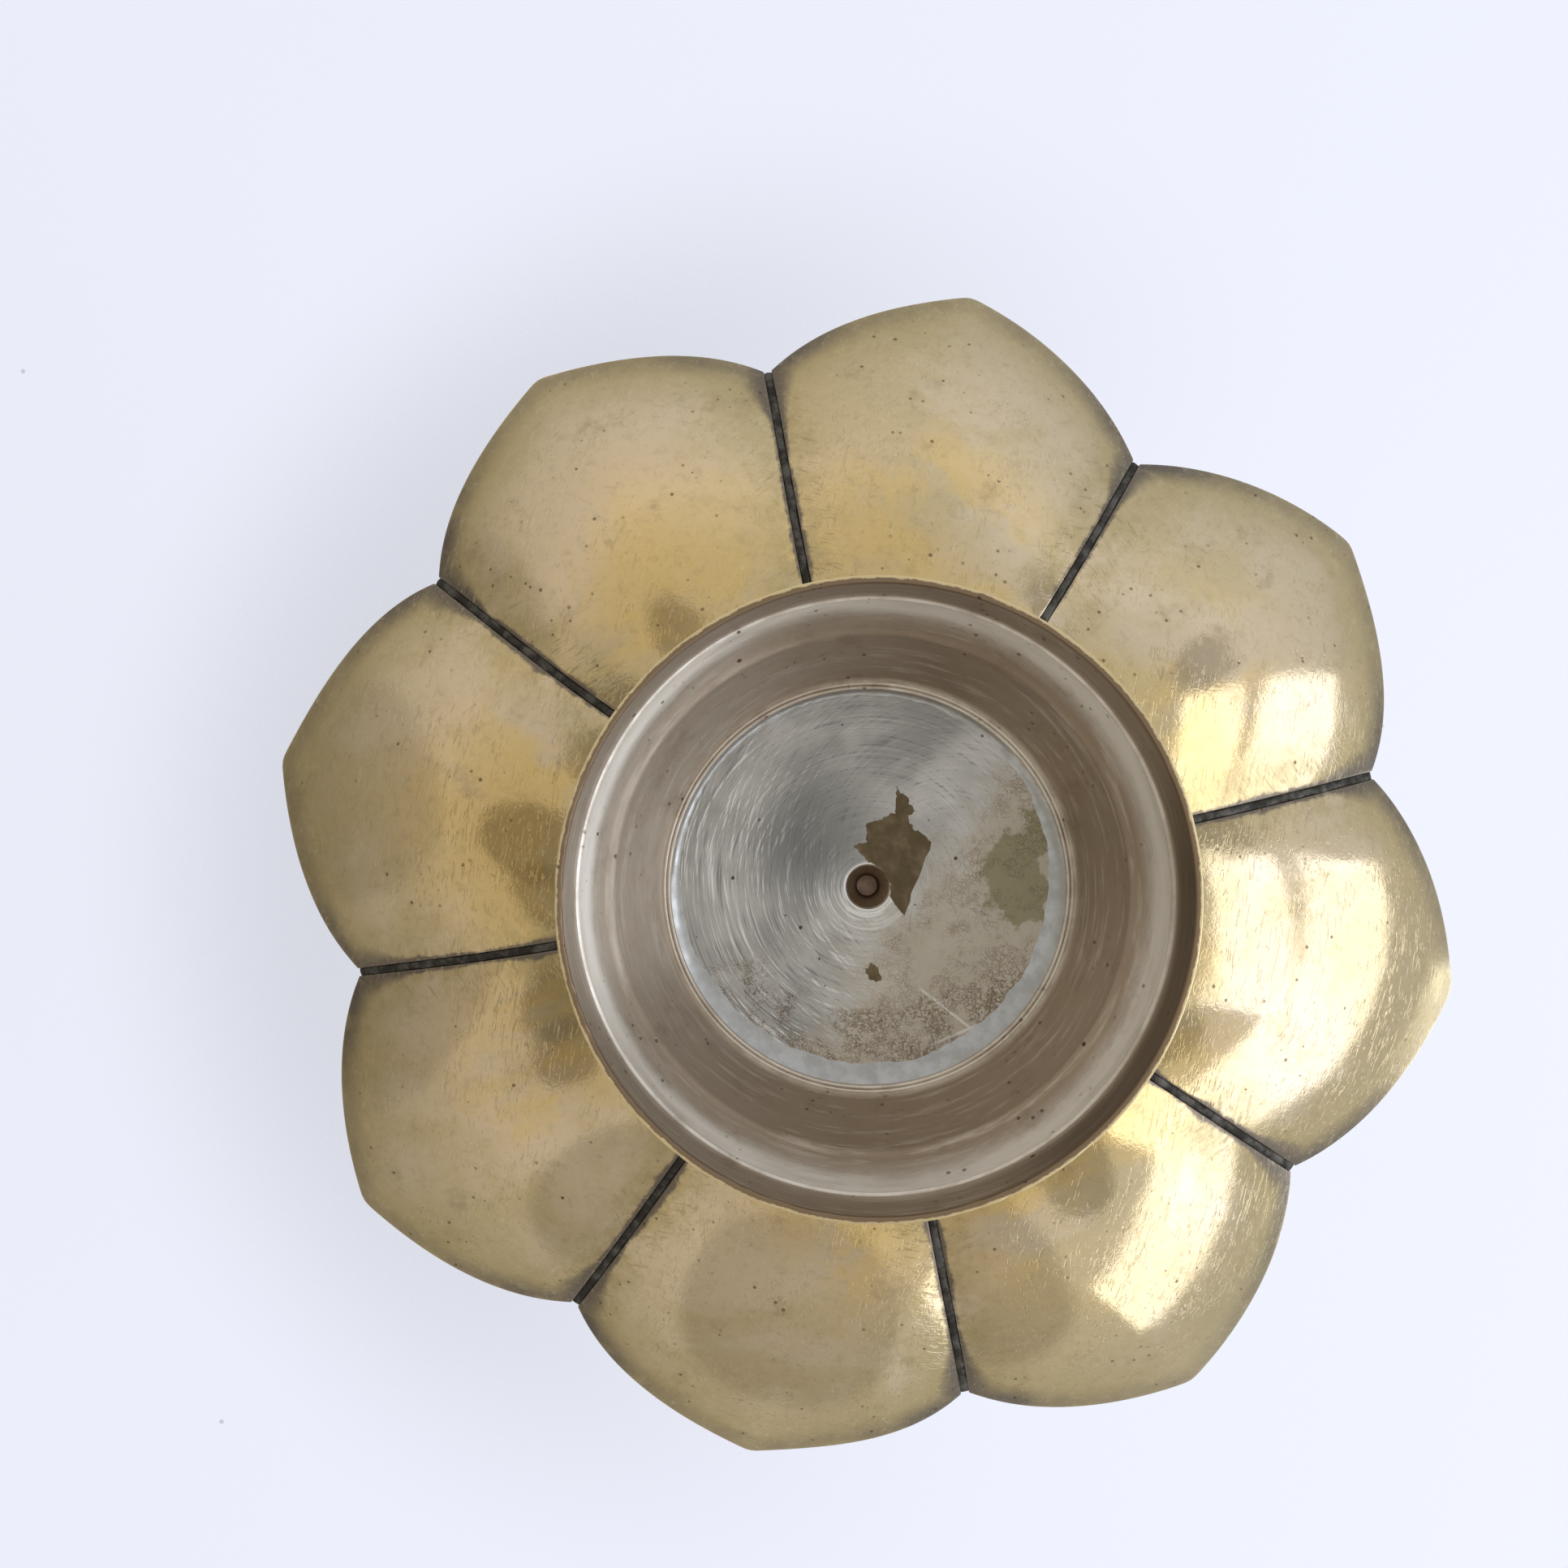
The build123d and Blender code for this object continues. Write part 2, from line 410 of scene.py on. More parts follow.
class Finish:
    """A metal finish. A subclass fills in the graph of its material."""

    title = "metal"

    def material(self) -> bpy.types.Material:
        """Makes the material."""
        made = bpy.data.materials.new(self.title)
        made.use_nodes = True
        graph = Graph(made.node_tree)
        shader = graph.node("ShaderNodeBsdfPrincipled")
        output = graph.node("ShaderNodeOutputMaterial")
        graph.feed(output.inputs["Surface"], shader.outputs[0])
        shader.inputs["Metallic"].default_value = 1.0
        self.dress(graph, shader, graph.read("ShaderNodeTexCoord", "Object"))
        return made

    def dress(self, graph: Graph, shader: bpy.types.Node, place: Field) -> None:
        """Feeds the shader's sockets. The place is in metres in the lamp's frame."""
        raise NotImplementedError

    @staticmethod
    def feed(graph: Graph, shader: bpy.types.Node, colour: Field, rough: Field, normal: Field) -> None:
        """Feeds the three sockets that every finish uses."""
        for name, value in (("Base Color", colour), ("Roughness", rough), ("Normal", normal)):
            graph.feed(shader.inputs[name], value)

    @staticmethod
    def stretch(graph: Graph, shader: bpy.types.Node, strength: float) -> None:
        """Stretches the shine across the turning marks."""
        shader.inputs["Anisotropic"].default_value = strength
        shader.inputs["Anisotropic Rotation"].default_value = QUARTER_TURN
        tangent = graph.read("ShaderNodeTangent", 0, direction_type="RADIAL", axis="Z")
        graph.feed(shader.inputs["Tangent"], tangent)


@dataclass(frozen=True)
class AgedPetalBrass(Finish):
    """Old polished sheet brass: khaki, rosy and golden areas, brown borders, hairs, grey beside the seams."""

    title: str = "aged_petal_brass"
    khaki: Colour = (0.64, 0.535, 0.345)
    rosy: Colour = (0.71, 0.60, 0.445)
    golden: Colour = (0.77, 0.58, 0.265)
    olive: Colour = (0.50, 0.41, 0.215)
    brown: Colour = (0.30, 0.225, 0.13)
    grey: Colour = (0.155, 0.135, 0.125)
    pale: Colour = (0.86, 0.76, 0.56)
    spot: Colour = (0.13, 0.085, 0.05)
    polish: float = 0.055
    dent_depth: float = 0.00008
    grain_depth: float = 0.00003

    def dress(self, graph: Graph, shader: bpy.types.Node, place: Field) -> None:
        """Feeds colour, roughness and bump."""
        step = graph.step
        seam = graph.read("ShaderNodeAttribute", "Fac", attribute_name="seam_distance")
        rim = graph.read("ShaderNodeAttribute", "Fac", attribute_name="rim_distance")
        areas = graph.noise(place, 34.0, 6.0, 0.62, 0.5)
        drift = graph.noise(graph.vector("ADD", place, (0.3, 0.1, 0.2)), 30.0, 6.0, 0.6, 0.6)
        cloud = graph.noise(place, 150.0, 6.0, 0.7)
        grain = graph.noise(place, 1500.0, 3.0, 0.7)
        mottle = graph.noise(place, 620.0, 7.0, 0.82, 0.5)
        near_foot = step(rim + cloud * 14.0, 34.0, 50.0, 0.0, 0.8)
        inward = step(rim, 12.0, 34.0)
        gold = graph.larger(step(drift, 0.46, 0.58) * inward, near_foot)
        border = step(rim, 0.5, 11.0, 0.85, 0.0) * step(areas, 0.25, 0.5, 0.35, 1.0)
        flank = step(seam, 0.5, 8.0, 0.7, 0.0) * step(cloud, 0.35, 0.6)
        stain = self.stain(graph, seam, rim, cloud)
        hairs = graph.larger(self.hairs(graph, place, 28.0, 2100.0), self.hairs(graph, place, -52.0, 1700.0))
        # Painted glints: pale hair-fine marks laid over the brass.
        glints = self.hairs(graph, place, 8.0, 2400.0)
        strokes = self.hatching(graph, place, seam)
        freckles = step(graph.cells(place, 560.0), 0.1, 0.17, 0.75, 0.0) * step(cloud, 0.5, 0.6)
        spots = graph.larger(step(graph.cells(place, 52.0), 0.01, 0.016, 0.9, 0.0), freckles)
        colour = graph.layers(
            self.khaki,
            (step(areas, 0.44, 0.58), self.rosy),
            (gold, self.golden),
            (border, self.olive),
            (flank, self.olive),
            (step(cloud, 0.54, 0.78, 0.0, 0.5), self.brown),
            (stain, self.grey),
            (step(mottle, 0.5, 0.7, 0.0, 0.3), self.brown),
            (step(mottle, 0.3, 0.48, 0.22, 0.0), self.pale),
            (hairs * 0.22, self.brown),
            (strokes * 0.42, self.brown),
            (glints * 0.25, self.pale),
            (spots, self.spot),
        )
        rough = self.polish + step(cloud, 0.35, 0.8) * 0.12 + graph.larger(stain, border) * 0.2
        rough = rough + strokes * 0.08 + spots * 0.3
        relief = grain * 0.45 - hairs * 0.6 - (spots + strokes) * 0.7
        dents = graph.bump(cloud, self.dent_depth, 0.35)
        self.feed(graph, shader, colour, rough, graph.bump(relief, self.grain_depth, 0.6, dents))

    @staticmethod
    def stain(graph: Graph, seam: Field, rim: Field, cloud: Field) -> Field:
        """Smoky grey left by the soldering: ragged by each seam, wide at the notch, thin on the border."""
        reach = 0.45 + graph.step(rim, 0.0, 10.0, 3.4, 0.0)
        ragged = seam + (cloud - 0.5) * -3.2
        beside = graph.step(ragged / reach, 0.1, 1.5, 0.92, 0.0)
        smoke = graph.step(rim, 0.4, 4.4, 1.0, 0.0) * graph.step(seam, 2.0, 19.0, 1.0, 0.45)
        return graph.larger(beside, smoke * graph.step(cloud, 0.3, 0.6, 0.55, 1.0))

    @staticmethod
    def hatching(graph: Graph, place: Field, seam: Field) -> Field:
        """Short strokes square to the seams, from cleaning the solder off."""
        radius = graph.about_axis(place)[3]
        along = (radius + seam * 0.0004) * 2300.0
        strokes = graph.noise(graph.combine(along, seam * 0.45, 0.0), 1.0, 3.0, 0.6, 0.4)
        patches = graph.step(graph.noise(place, 110.0), 0.36, 0.56)
        near = graph.step(seam, 1.0, 8.0, 1.0, 0.0) * patches
        return graph.step(strokes, 0.53, 0.68) * near

    @staticmethod
    def hairs(graph: Graph, place: Field, turn_deg: float, scale: float) -> Field:
        """Hair-fine marks a few millimetres long, in patches.

        Args:
            graph: The material's graph.
            place: Place on the lamp.
            turn_deg: Direction of the marks in plan.
            scale: How fine and close they are.

        Returns:
            One on a mark, zero beside it.
        """
        mapping = graph.node("ShaderNodeMapping")
        graph.feed(mapping.inputs["Vector"], place)
        graph.feed(mapping.inputs["Rotation"], (0.0, 0.0, math.radians(turn_deg)))
        graph.feed(mapping.inputs["Scale"], (1.0, 0.13, 1.0))
        lines = graph.step(graph.noise(mapping.outputs[0], scale, 2.0, 0.5, 1.1), 0.61, 0.70)
        return lines * graph.step(graph.noise(place, 120.0), 0.36, 0.56)


@dataclass(frozen=True)
class TurnedFootBrass(Finish):
    """Lathe-turned foot: satin rings inside, brown bands of tarnish, bright worn edges, golden outside, with
    a painted sheen on one side of the inside, painted shade on the lip of the other side and a painted
    highlight on the beads.
    """

    title: str = "turned_foot_brass"
    satin: Colour = (0.94, 0.91, 0.87)
    middle: Colour = (0.66, 0.59, 0.52)
    brown: Colour = (0.44, 0.36, 0.285)
    umber: Colour = (0.29, 0.21, 0.14)
    dark: Colour = (0.22, 0.165, 0.115)
    golden: Colour = (0.72, 0.55, 0.27)
    bright: Colour = (0.90, 0.86, 0.79)
    edge: Colour = (0.80, 0.66, 0.40)
    # Colour of the painted shade on the lip.
    shade_black: Colour = (0.10, 0.07, 0.05)
    pit: Colour = (0.08, 0.055, 0.04)
    height: float = 0.022
    rim: float = 0.0351
    # Bearing of the side of the inside that gets the painted sheen; the lip on the opposite side gets painted
    # shade.
    sheen_bearing_deg: float = 158.0
    mark_depth: float = 0.000035

    def dress(self, graph: Graph, shader: bpy.types.Node, place: Field) -> None:
        """Feeds colour, roughness, direction of the turning and bump."""
        step = graph.step
        x, y, z, radius = graph.about_axis(place)
        turning, streaks, bands, scores, chatter = (
            self.rings(graph, x, y, z, radius, pitch, breaks)
            for pitch, breaks in ((1800.0, 2.5), (900.0, 5.0), (260.0, 1.2), (1100.0, 3.5), (900.0, 26.0))
        )
        scores = step(scores, 0.60, 0.74)
        cloud = graph.noise(place, 170.0, 5.0, 0.68)
        sheen_side = tuple(VIEW.toward(self.sheen_bearing_deg, 90.0))
        outward = graph.vector("DOT_PRODUCT", place, sheen_side) / radius
        # Painted sheen: satin colour laid on the side of the inside that faces the sheen bearing, stronger
        # above the step.
        painted_sheen = step(outward + (bands - 0.5) * 1.2, -0.1, 0.8) * step(z, 0.0052, 0.0062, 0.12, 0.72)
        trough = step(z, 0.006, 0.0063) * step(z, 0.0078, 0.0098, 1.0, 0.0)
        worn = trough * step(bands, 0.4, 0.66, 0.95, 0.45)
        # Painted shade: near black low on the lip, on the side away from the sheen bearing.
        painted_shade = step(outward, -0.62, -0.92) * step(z, 0.0035, 0.0062, 0.6, 0.0)
        inside = graph.layers(
            self.ladder(graph, z),
            # Painted sheen on one side of the inside.
            (painted_sheen, graph.mix(step(z, 0.0080, 0.0096), self.satin, self.middle)),
            (step(streaks, 0.42, 0.66, 0.0, 0.45), self.brown),
            (step(turning, 0.50, 0.68, 0.0, 0.40), self.bright),
            (step(bands, 0.48, 0.72, 0.0, 0.4), self.brown),
            (step(cloud, 0.52, 0.78, 0.0, 0.5), self.umber),
            (scores * 0.3, self.dark),
            (worn, self.satin),
            # Painted shade on the lip of one side.
            (painted_shade, self.shade_black),
        )
        outside = graph.mix(step(cloud, 0.4, 0.72, 0.0, 0.6), self.golden, self.brown)
        wall = graph.math("MINIMUM", 0.0358 + z * -0.34, 0.03455)
        ragged = radius + (chatter - 0.5) * 0.0006
        land = graph.mix(step(ragged, self.rim - 0.00036, self.rim - 0.00024), self.umber, self.edge)
        pits = graph.larger(
            step(graph.cells(place, 130.0), 0.035, 0.05, 0.85, 0.0),
            step(graph.cells(place, 620.0), 0.12, 0.2, 0.7, 0.0) * step(cloud, 0.5, 0.6),
        )
        colour = graph.layers(
            inside,
            (step(radius - wall, -0.0002, 0.0002), outside),
            (step(z, 0.0003, 0.0006, 1.0, 0.0), land),
            (pits, self.pit),
        )
        rough = 0.22 + streaks * 0.22 + worn * 0.18 + pits * 0.3
        relief = turning + pits * -1.2 + scores * 0.6
        self.feed(graph, shader, colour, rough, graph.bump(relief, self.mark_depth, 0.7))
        self.stretch(graph, shader, 0.85)

    def ladder(self, graph: Graph, z: Field) -> Field:
        """Colours up the inside, from the lip over the step and the trough to the beads, whose bright stop is
        a painted highlight.
        """
        return graph.ramp(
            z / self.height,
            (
                (0.0, self.umber),
                (0.05, self.brown),
                (0.22, self.brown),
                (0.262, self.middle),
                (0.285, self.satin),
                (0.4, self.satin),
                (0.5, self.brown),
                (0.9, self.brown),
                # Painted highlight on the beads.
                (0.96, self.bright),
            ),
        )

    @staticmethod
    def rings(
        graph: Graph, x: Field, y: Field, z: Field, radius: Field, pitch: float, breaks: float
    ) -> Field:
        """Turning marks round the axis.

        Args:
            graph: The material's graph.
            x: Place across.
            y: Place along.
            z: Height.
            radius: Distance from the axis.
            pitch: Marks to the metre, roughly.
            breaks: How often a mark starts and ends round the turn.

        Returns:
            Height of the marks, about 0.5 on average.
        """
        across = radius * pitch + z * (pitch * 1.3)
        return graph.noise(graph.combine(across, x / radius * breaks, y / radius * breaks), 1.0, 4.0, 0.7)


@dataclass(frozen=True)
class FacedCasting(Finish):
    """Faced underside of the disc: silvery lathe arcs, a tan skin on one side, pits and stray scratches, with
    painted highlights on the arcs of one side, on the rings round the hole and on its chamfer, and a painted
    shade patch beside the hole.
    """

    title: str = "faced_casting"
    silver: Colour = (0.60, 0.59, 0.575)
    slate: Colour = (0.35, 0.345, 0.34)
    shine: Colour = (0.88, 0.88, 0.87)
    shade: Colour = (0.17, 0.175, 0.175)
    tan: Colour = (0.61, 0.55, 0.46)
    brown: Colour = (0.27, 0.20, 0.13)
    khaki: Colour = (0.34, 0.31, 0.19)
    brass: Colour = (0.36, 0.285, 0.20)
    deep: Colour = (0.10, 0.06, 0.045)
    bottom: Colour = (0.20, 0.14, 0.11)
    pit: Colour = (0.10, 0.07, 0.05)
    floor_height: float = 0.022
    hole_depth: float = 0.003
    mark_depth: float = 0.00007
    pits: tuple[tuple[float, float, float], ...] = (
        (0.0121, -0.0207, 0.00030),
        (0.0098, -0.0055, 0.00014),
        (0.0122, 0.0193, 0.00022),
        (-0.0164, 0.0022, 0.00016),
        (-0.0071, 0.0065, 0.00016),
    )

    def dress(self, graph: Graph, shader: bpy.types.Node, place: Field) -> None:
        """Feeds colour, roughness and bump."""
        step = graph.step
        x, y, z, radius = graph.about_axis(place)
        right = graph.vector("DOT_PRODUCT", place, tuple(VIEW.right))
        up = graph.vector("DOT_PRODUCT", place, tuple(VIEW.up))
        cloud = graph.noise(place, 150.0, 5.0, 0.62)
        tone = graph.noise(place, 75.0, 3.0, 0.55)
        waver = (cloud - 0.5) * 0.016
        skin = step(right * 0.75 + up * -0.55 + waver, 0.002, 0.009)
        sweeps = self.arcs(graph, x, y, (0.009, -0.005), 3300.0, 2.2)
        machined = self.arcs(graph, x, y, (0.0002, -0.0003), 4300.0, 1.5) + sweeps * 0.8
        # Painted highlight: the machined arcs shine only on the side toward the left and the bottom of the
        # view.
        lit = step(right * -1.0 + up * -0.5 + waver, -0.004, 0.012, 0.22, 0.9)
        rings = self.arcs(graph, x, y, (0.0, 0.0), 3600.0, 0.5)
        # Painted highlight on the rings round the hole, faint above it.
        ring_highlight = step(radius, 0.0035, 0.0075, 1.0, 0.0) * step(up, -0.001, 0.003, 1.0, 0.2)
        # Painted shade: a dark patch to the left of the hole and above it.
        painted_shade_patch = graph.vector("LENGTH", graph.combine((right + 0.0062) / 0.009, (up - 0.006) / 0.0085, 0.0))
        dark_lines = self.dark_lines(graph, place, up, radius, waver, skin)
        in_hole = step(z, 0.02212, 0.0223) * step(radius, 0.0026, 0.0028, 1.0, 0.0)
        # Painted highlight on the chamfer at the hole's mouth.
        chamfer_highlight = step(radius, 0.00258, 0.00266) * step(radius, 0.0029, 0.0031, 0.85, 0.0)
        pits = step(graph.cells(place, 300.0), 0.03, 0.06, 0.8, 0.0)
        for pit_x, pit_y, size in self.pits:
            gap = graph.vector("LENGTH", graph.combine(x - pit_x, y - pit_y, 0.0))
            pits = graph.larger(pits, step(gap, size, size + 0.00012, 0.95, 0.0))
        colour = graph.layers(
            self.silver,
            (step(tone, 0.35, 0.65), self.slate),
            (step(machined, 0.96, 1.1) * lit, self.shine),
            (step(machined, 0.66, 0.83, 0.6, 0.0), self.shade),
            (step(rings, 0.48, 0.6) * ring_highlight, self.shine),
            (step(painted_shade_patch + waver * 60.0, 0.35, 1.25, 0.62, 0.0), self.shade),
            (skin * 0.85, self.tan),
            (dark_lines * 0.9, self.brown),
            (self.film(graph, right, up, waver), self.khaki),
            (self.long_scratch(graph, right, up), self.shine),
            (in_hole, self.hole(graph, z)),
            (chamfer_highlight, self.shine),
            (pits, self.pit),
        )
        rough = 0.27 + skin * 0.14 + cloud * 0.1
        relief = machined * step(skin, 0.0, 1.0, 1.0, 0.4) - dark_lines * 0.9 - pits
        self.feed(graph, shader, colour, rough, graph.bump(relief, self.mark_depth, 0.85))
        self.stretch(graph, shader, 0.75)

    def hole(self, graph: Graph, z: Field) -> Field:
        """Colours down the lathe centre hole, from its mouth, whose shine is a painted highlight, to its
        bottom.
        """
        stops = [(0.0, self.shine), (0.09, self.shine), (0.12, self.brass), (0.55, self.brass)]
        stops += [(0.8, self.deep), (1.0, self.bottom)]
        return graph.ramp((z - self.floor_height) / self.hole_depth, stops)

    @staticmethod
    def dark_lines(
        graph: Graph, place: Field, up: Field, radius: Field, waver: Field, skin: Field
    ) -> Field:
        """Curled and brushed brown marks, on the tan side and low on the floor.

        Args:
            graph: The material's graph.
            place: Place on the lamp.
            up: Distance from the axis toward the top of the view.
            radius: Distance from the axis.
            waver: Unevenness of the borders.
            skin: Where the tan skin lies.

        Returns:
            One on a mark, zero beside it.
        """
        worms = graph.noise(place, 820.0, 3.0, 0.6, 2.6)
        curled = graph.step(abs(worms - 0.5), 0.0, 0.06, 0.8, 0.0)
        lines = graph.larger(curled, AgedPetalBrass.hairs(graph, place, 64.0, 1500.0))
        patchy = graph.step(graph.noise(place, 190.0, 5.0, 0.72), 0.40, 0.56)
        skirt = graph.step(radius + waver, 0.0125, 0.0165)
        lower = graph.step(up + waver, -0.012, -0.006, 1.0, 0.0) * skirt
        return lines * graph.larger(skin * patchy * 0.5, lower * patchy)

    @staticmethod
    def film(graph: Graph, right: Field, up: Field, waver: Field) -> Field:
        """Smooth khaki film on one side of the floor."""
        reach = graph.vector("LENGTH", graph.combine((right - 0.0186) / 0.0044, (up - 0.0022) / 0.0078, 0.0))
        return graph.step(reach + waver * 170.0, 0.8, 0.95, 0.85, 0.0)

    @staticmethod
    def long_scratch(graph: Graph, right: Field, up: Field) -> Field:
        """Two bright scratches that cross low on the floor."""
        masks = []
        for slope, offset, low, high in ((-0.78, -0.0075, 0.0060, 0.0150), (0.42, -0.0225, 0.0075, 0.0135)):
            thin = graph.step(abs(up - (right * slope + offset)), 0.00008, 0.0003, 1.0, 0.0)
            start = graph.step(right, low, low + 0.0008)
            masks.append(thin * start * graph.step(right, high, high + 0.0008, 0.7, 0.0))
        return graph.larger(*masks)

    @staticmethod
    def arcs(graph: Graph, x: Field, y: Field, centre: Point, pitch: float, breaks: float) -> Field:
        """Grooves round a centre.

        Args:
            graph: The material's graph.
            x: Place across, in metres.
            y: Place along, in metres.
            centre: Middle of the arcs, in metres.
            pitch: Grooves to the metre, roughly.
            breaks: How often a groove starts and ends.

        Returns:
            Height of the grooves, about 0.5 on average.
        """
        off_x, off_y = x - centre[0], y - centre[1]
        radius = graph.vector("LENGTH", graph.combine(off_x, off_y, 0.0))
        turn = graph.combine(radius * pitch, off_x / radius * breaks, off_y / radius * breaks)
        return graph.noise(turn, 1.0, 3.0, 0.65)


@dataclass(frozen=True)
class TurnedTopBrass(Finish):
    """Bright side of the disc, in the bottom of the bowl: golden, with turning marks and a darker border."""

    title: str = "turned_top_brass"
    golden: Colour = (0.74, 0.575, 0.30)
    brown: Colour = (0.40, 0.30, 0.18)
    edge: float = 0.028
    mark_depth: float = 0.00004

    def dress(self, graph: Graph, shader: bpy.types.Node, place: Field) -> None:
        """Feeds colour, roughness, direction of the turning and bump."""
        x, y, z, radius = graph.about_axis(place)
        turning = TurnedFootBrass.rings(graph, x, y, z, radius, 1700.0, 1.4)
        cloud = graph.noise(place, 120.0, 5.0, 0.65)
        border = graph.step(radius + cloud * 0.003, self.edge - 0.002, self.edge)
        browned = graph.step(cloud, 0.42, 0.75, 0.0, 0.7)
        colour = graph.layers(self.golden, (browned, self.brown), (border * 0.6, self.brown))
        self.feed(graph, shader, colour, 0.2 + cloud * 0.2, graph.bump(turning, self.mark_depth, 0.6))
        self.stretch(graph, shader, 0.6)


@dataclass(frozen=True)
class CastSkin(Finish):
    """Original brown skin of the casting, left where the facing cut did not reach."""

    title: str = "cast_skin"
    brown: Colour = (0.145, 0.11, 0.065)
    light: Colour = (0.235, 0.185, 0.12)
    grain_depth: float = 0.00006

    def dress(self, graph: Graph, shader: bpy.types.Node, place: Field) -> None:
        """Feeds colour, roughness and bump."""
        grain = graph.noise(place, 1400.0, 4.0, 0.65)
        cloud = graph.noise(place, 400.0, 3.0, 0.6)
        colour = graph.mix(graph.step(cloud, 0.4, 0.75), self.brown, self.light)
        rough = graph.step(grain, 0.2, 0.8, 0.42, 0.6)
        self.feed(graph, shader, colour, rough, graph.bump(grain, self.grain_depth, 0.7))


@dataclass(frozen=True)
class SoftSolder(Finish):
    """Dull grey solder with darker tarnish in its low places."""

    title: str = "soft_solder"
    light: Colour = (0.15, 0.145, 0.138)
    dark: Colour = (0.062, 0.058, 0.053)
    bias: float = 0.52
    rough: float = 0.66
    grain_depth: float = 0.00010

    def dress(self, graph: Graph, shader: bpy.types.Node, place: Field) -> None:
        """Feeds colour, roughness and bump."""
        cloud = graph.noise(place, 420.0, 4.0, 0.65)
        grain = graph.noise(place, 2200.0, 3.0, 0.6)
        colour = graph.mix(graph.step(cloud, self.bias - 0.12, self.bias + 0.14), self.dark, self.light)
        rough = graph.step(cloud, 0.3, 0.7, self.rough + 0.08, self.rough - 0.06)
        self.feed(graph, shader, colour, rough, graph.bump(cloud + grain * 0.4, self.grain_depth, 0.6))


# ---------------------------------------------------------------- bowl


@dataclass(frozen=True)
class HandWork:
    """Small departures from the drawn shape, because each petal was cut, beaten and soldered by hand.

    The points and the notches alternate round the lamp, from the first petal's point on.
    """

    pitch_deg: float = 45.0
    reach: tuple[float, ...] = (
        1.6, 0.6, 1.7, 1.2, -0.8, -0.4, 0.2, -0.8, -0.3, 0.2, 0.1, -0.2, -0.2, -2.4, 0.2, 0.7,
    )
    swing_deg: tuple[float, ...] = (
        -0.6, 0.1, 0.3, -0.3, -0.6, 0.0, 0.4, 0.5, 0.0, 1.2, 0.7, 0.7, -0.5, -0.3, -0.5, -0.2,
    )
    start: float = 36.0
    full: float = 70.0
    roll: float = 0.16
    ripple: float = 0.018

    def between(self, values: tuple[float, ...], angle: float) -> float:
        """Value at an angle in radians, eased between the two nearest of the values round the lamp."""
        place = math.degrees(angle) / (self.pitch_deg / 2.0)
        low = math.floor(place)
        ease = smooth(place - low)
        first, second = values[low % len(values)], values[(low + 1) % len(values)]
        return first + (second - first) * ease

    def lift(self, x: float, y: float) -> float:
        """How far the beaten sheet rises or sinks at a point."""
        rolling = noise.noise(Vector((x / 14.0, y / 14.0, 3.7)))
        rippling = noise.noise(Vector((x / 4.5, y / 4.5, 9.1)))
        return self.roll * rolling + self.ripple * rippling

    def shaped(self, point: Vector) -> Vector:
        """A drawn point moved to where the handwork left it."""
        radius, angle = math.hypot(point.x, point.y), math.atan2(point.y, point.x)
        share = smooth((radius - self.start) / (self.full - self.start))
        new_radius = radius + self.between(self.reach, angle) * share
        new_angle = angle + math.radians(self.between(self.swing_deg, angle)) * share
        x, y = new_radius * math.cos(new_angle), new_radius * math.sin(new_angle)
        return Vector((x, y, point.z + self.lift(x, y) * (0.3 + 0.7 * share)))


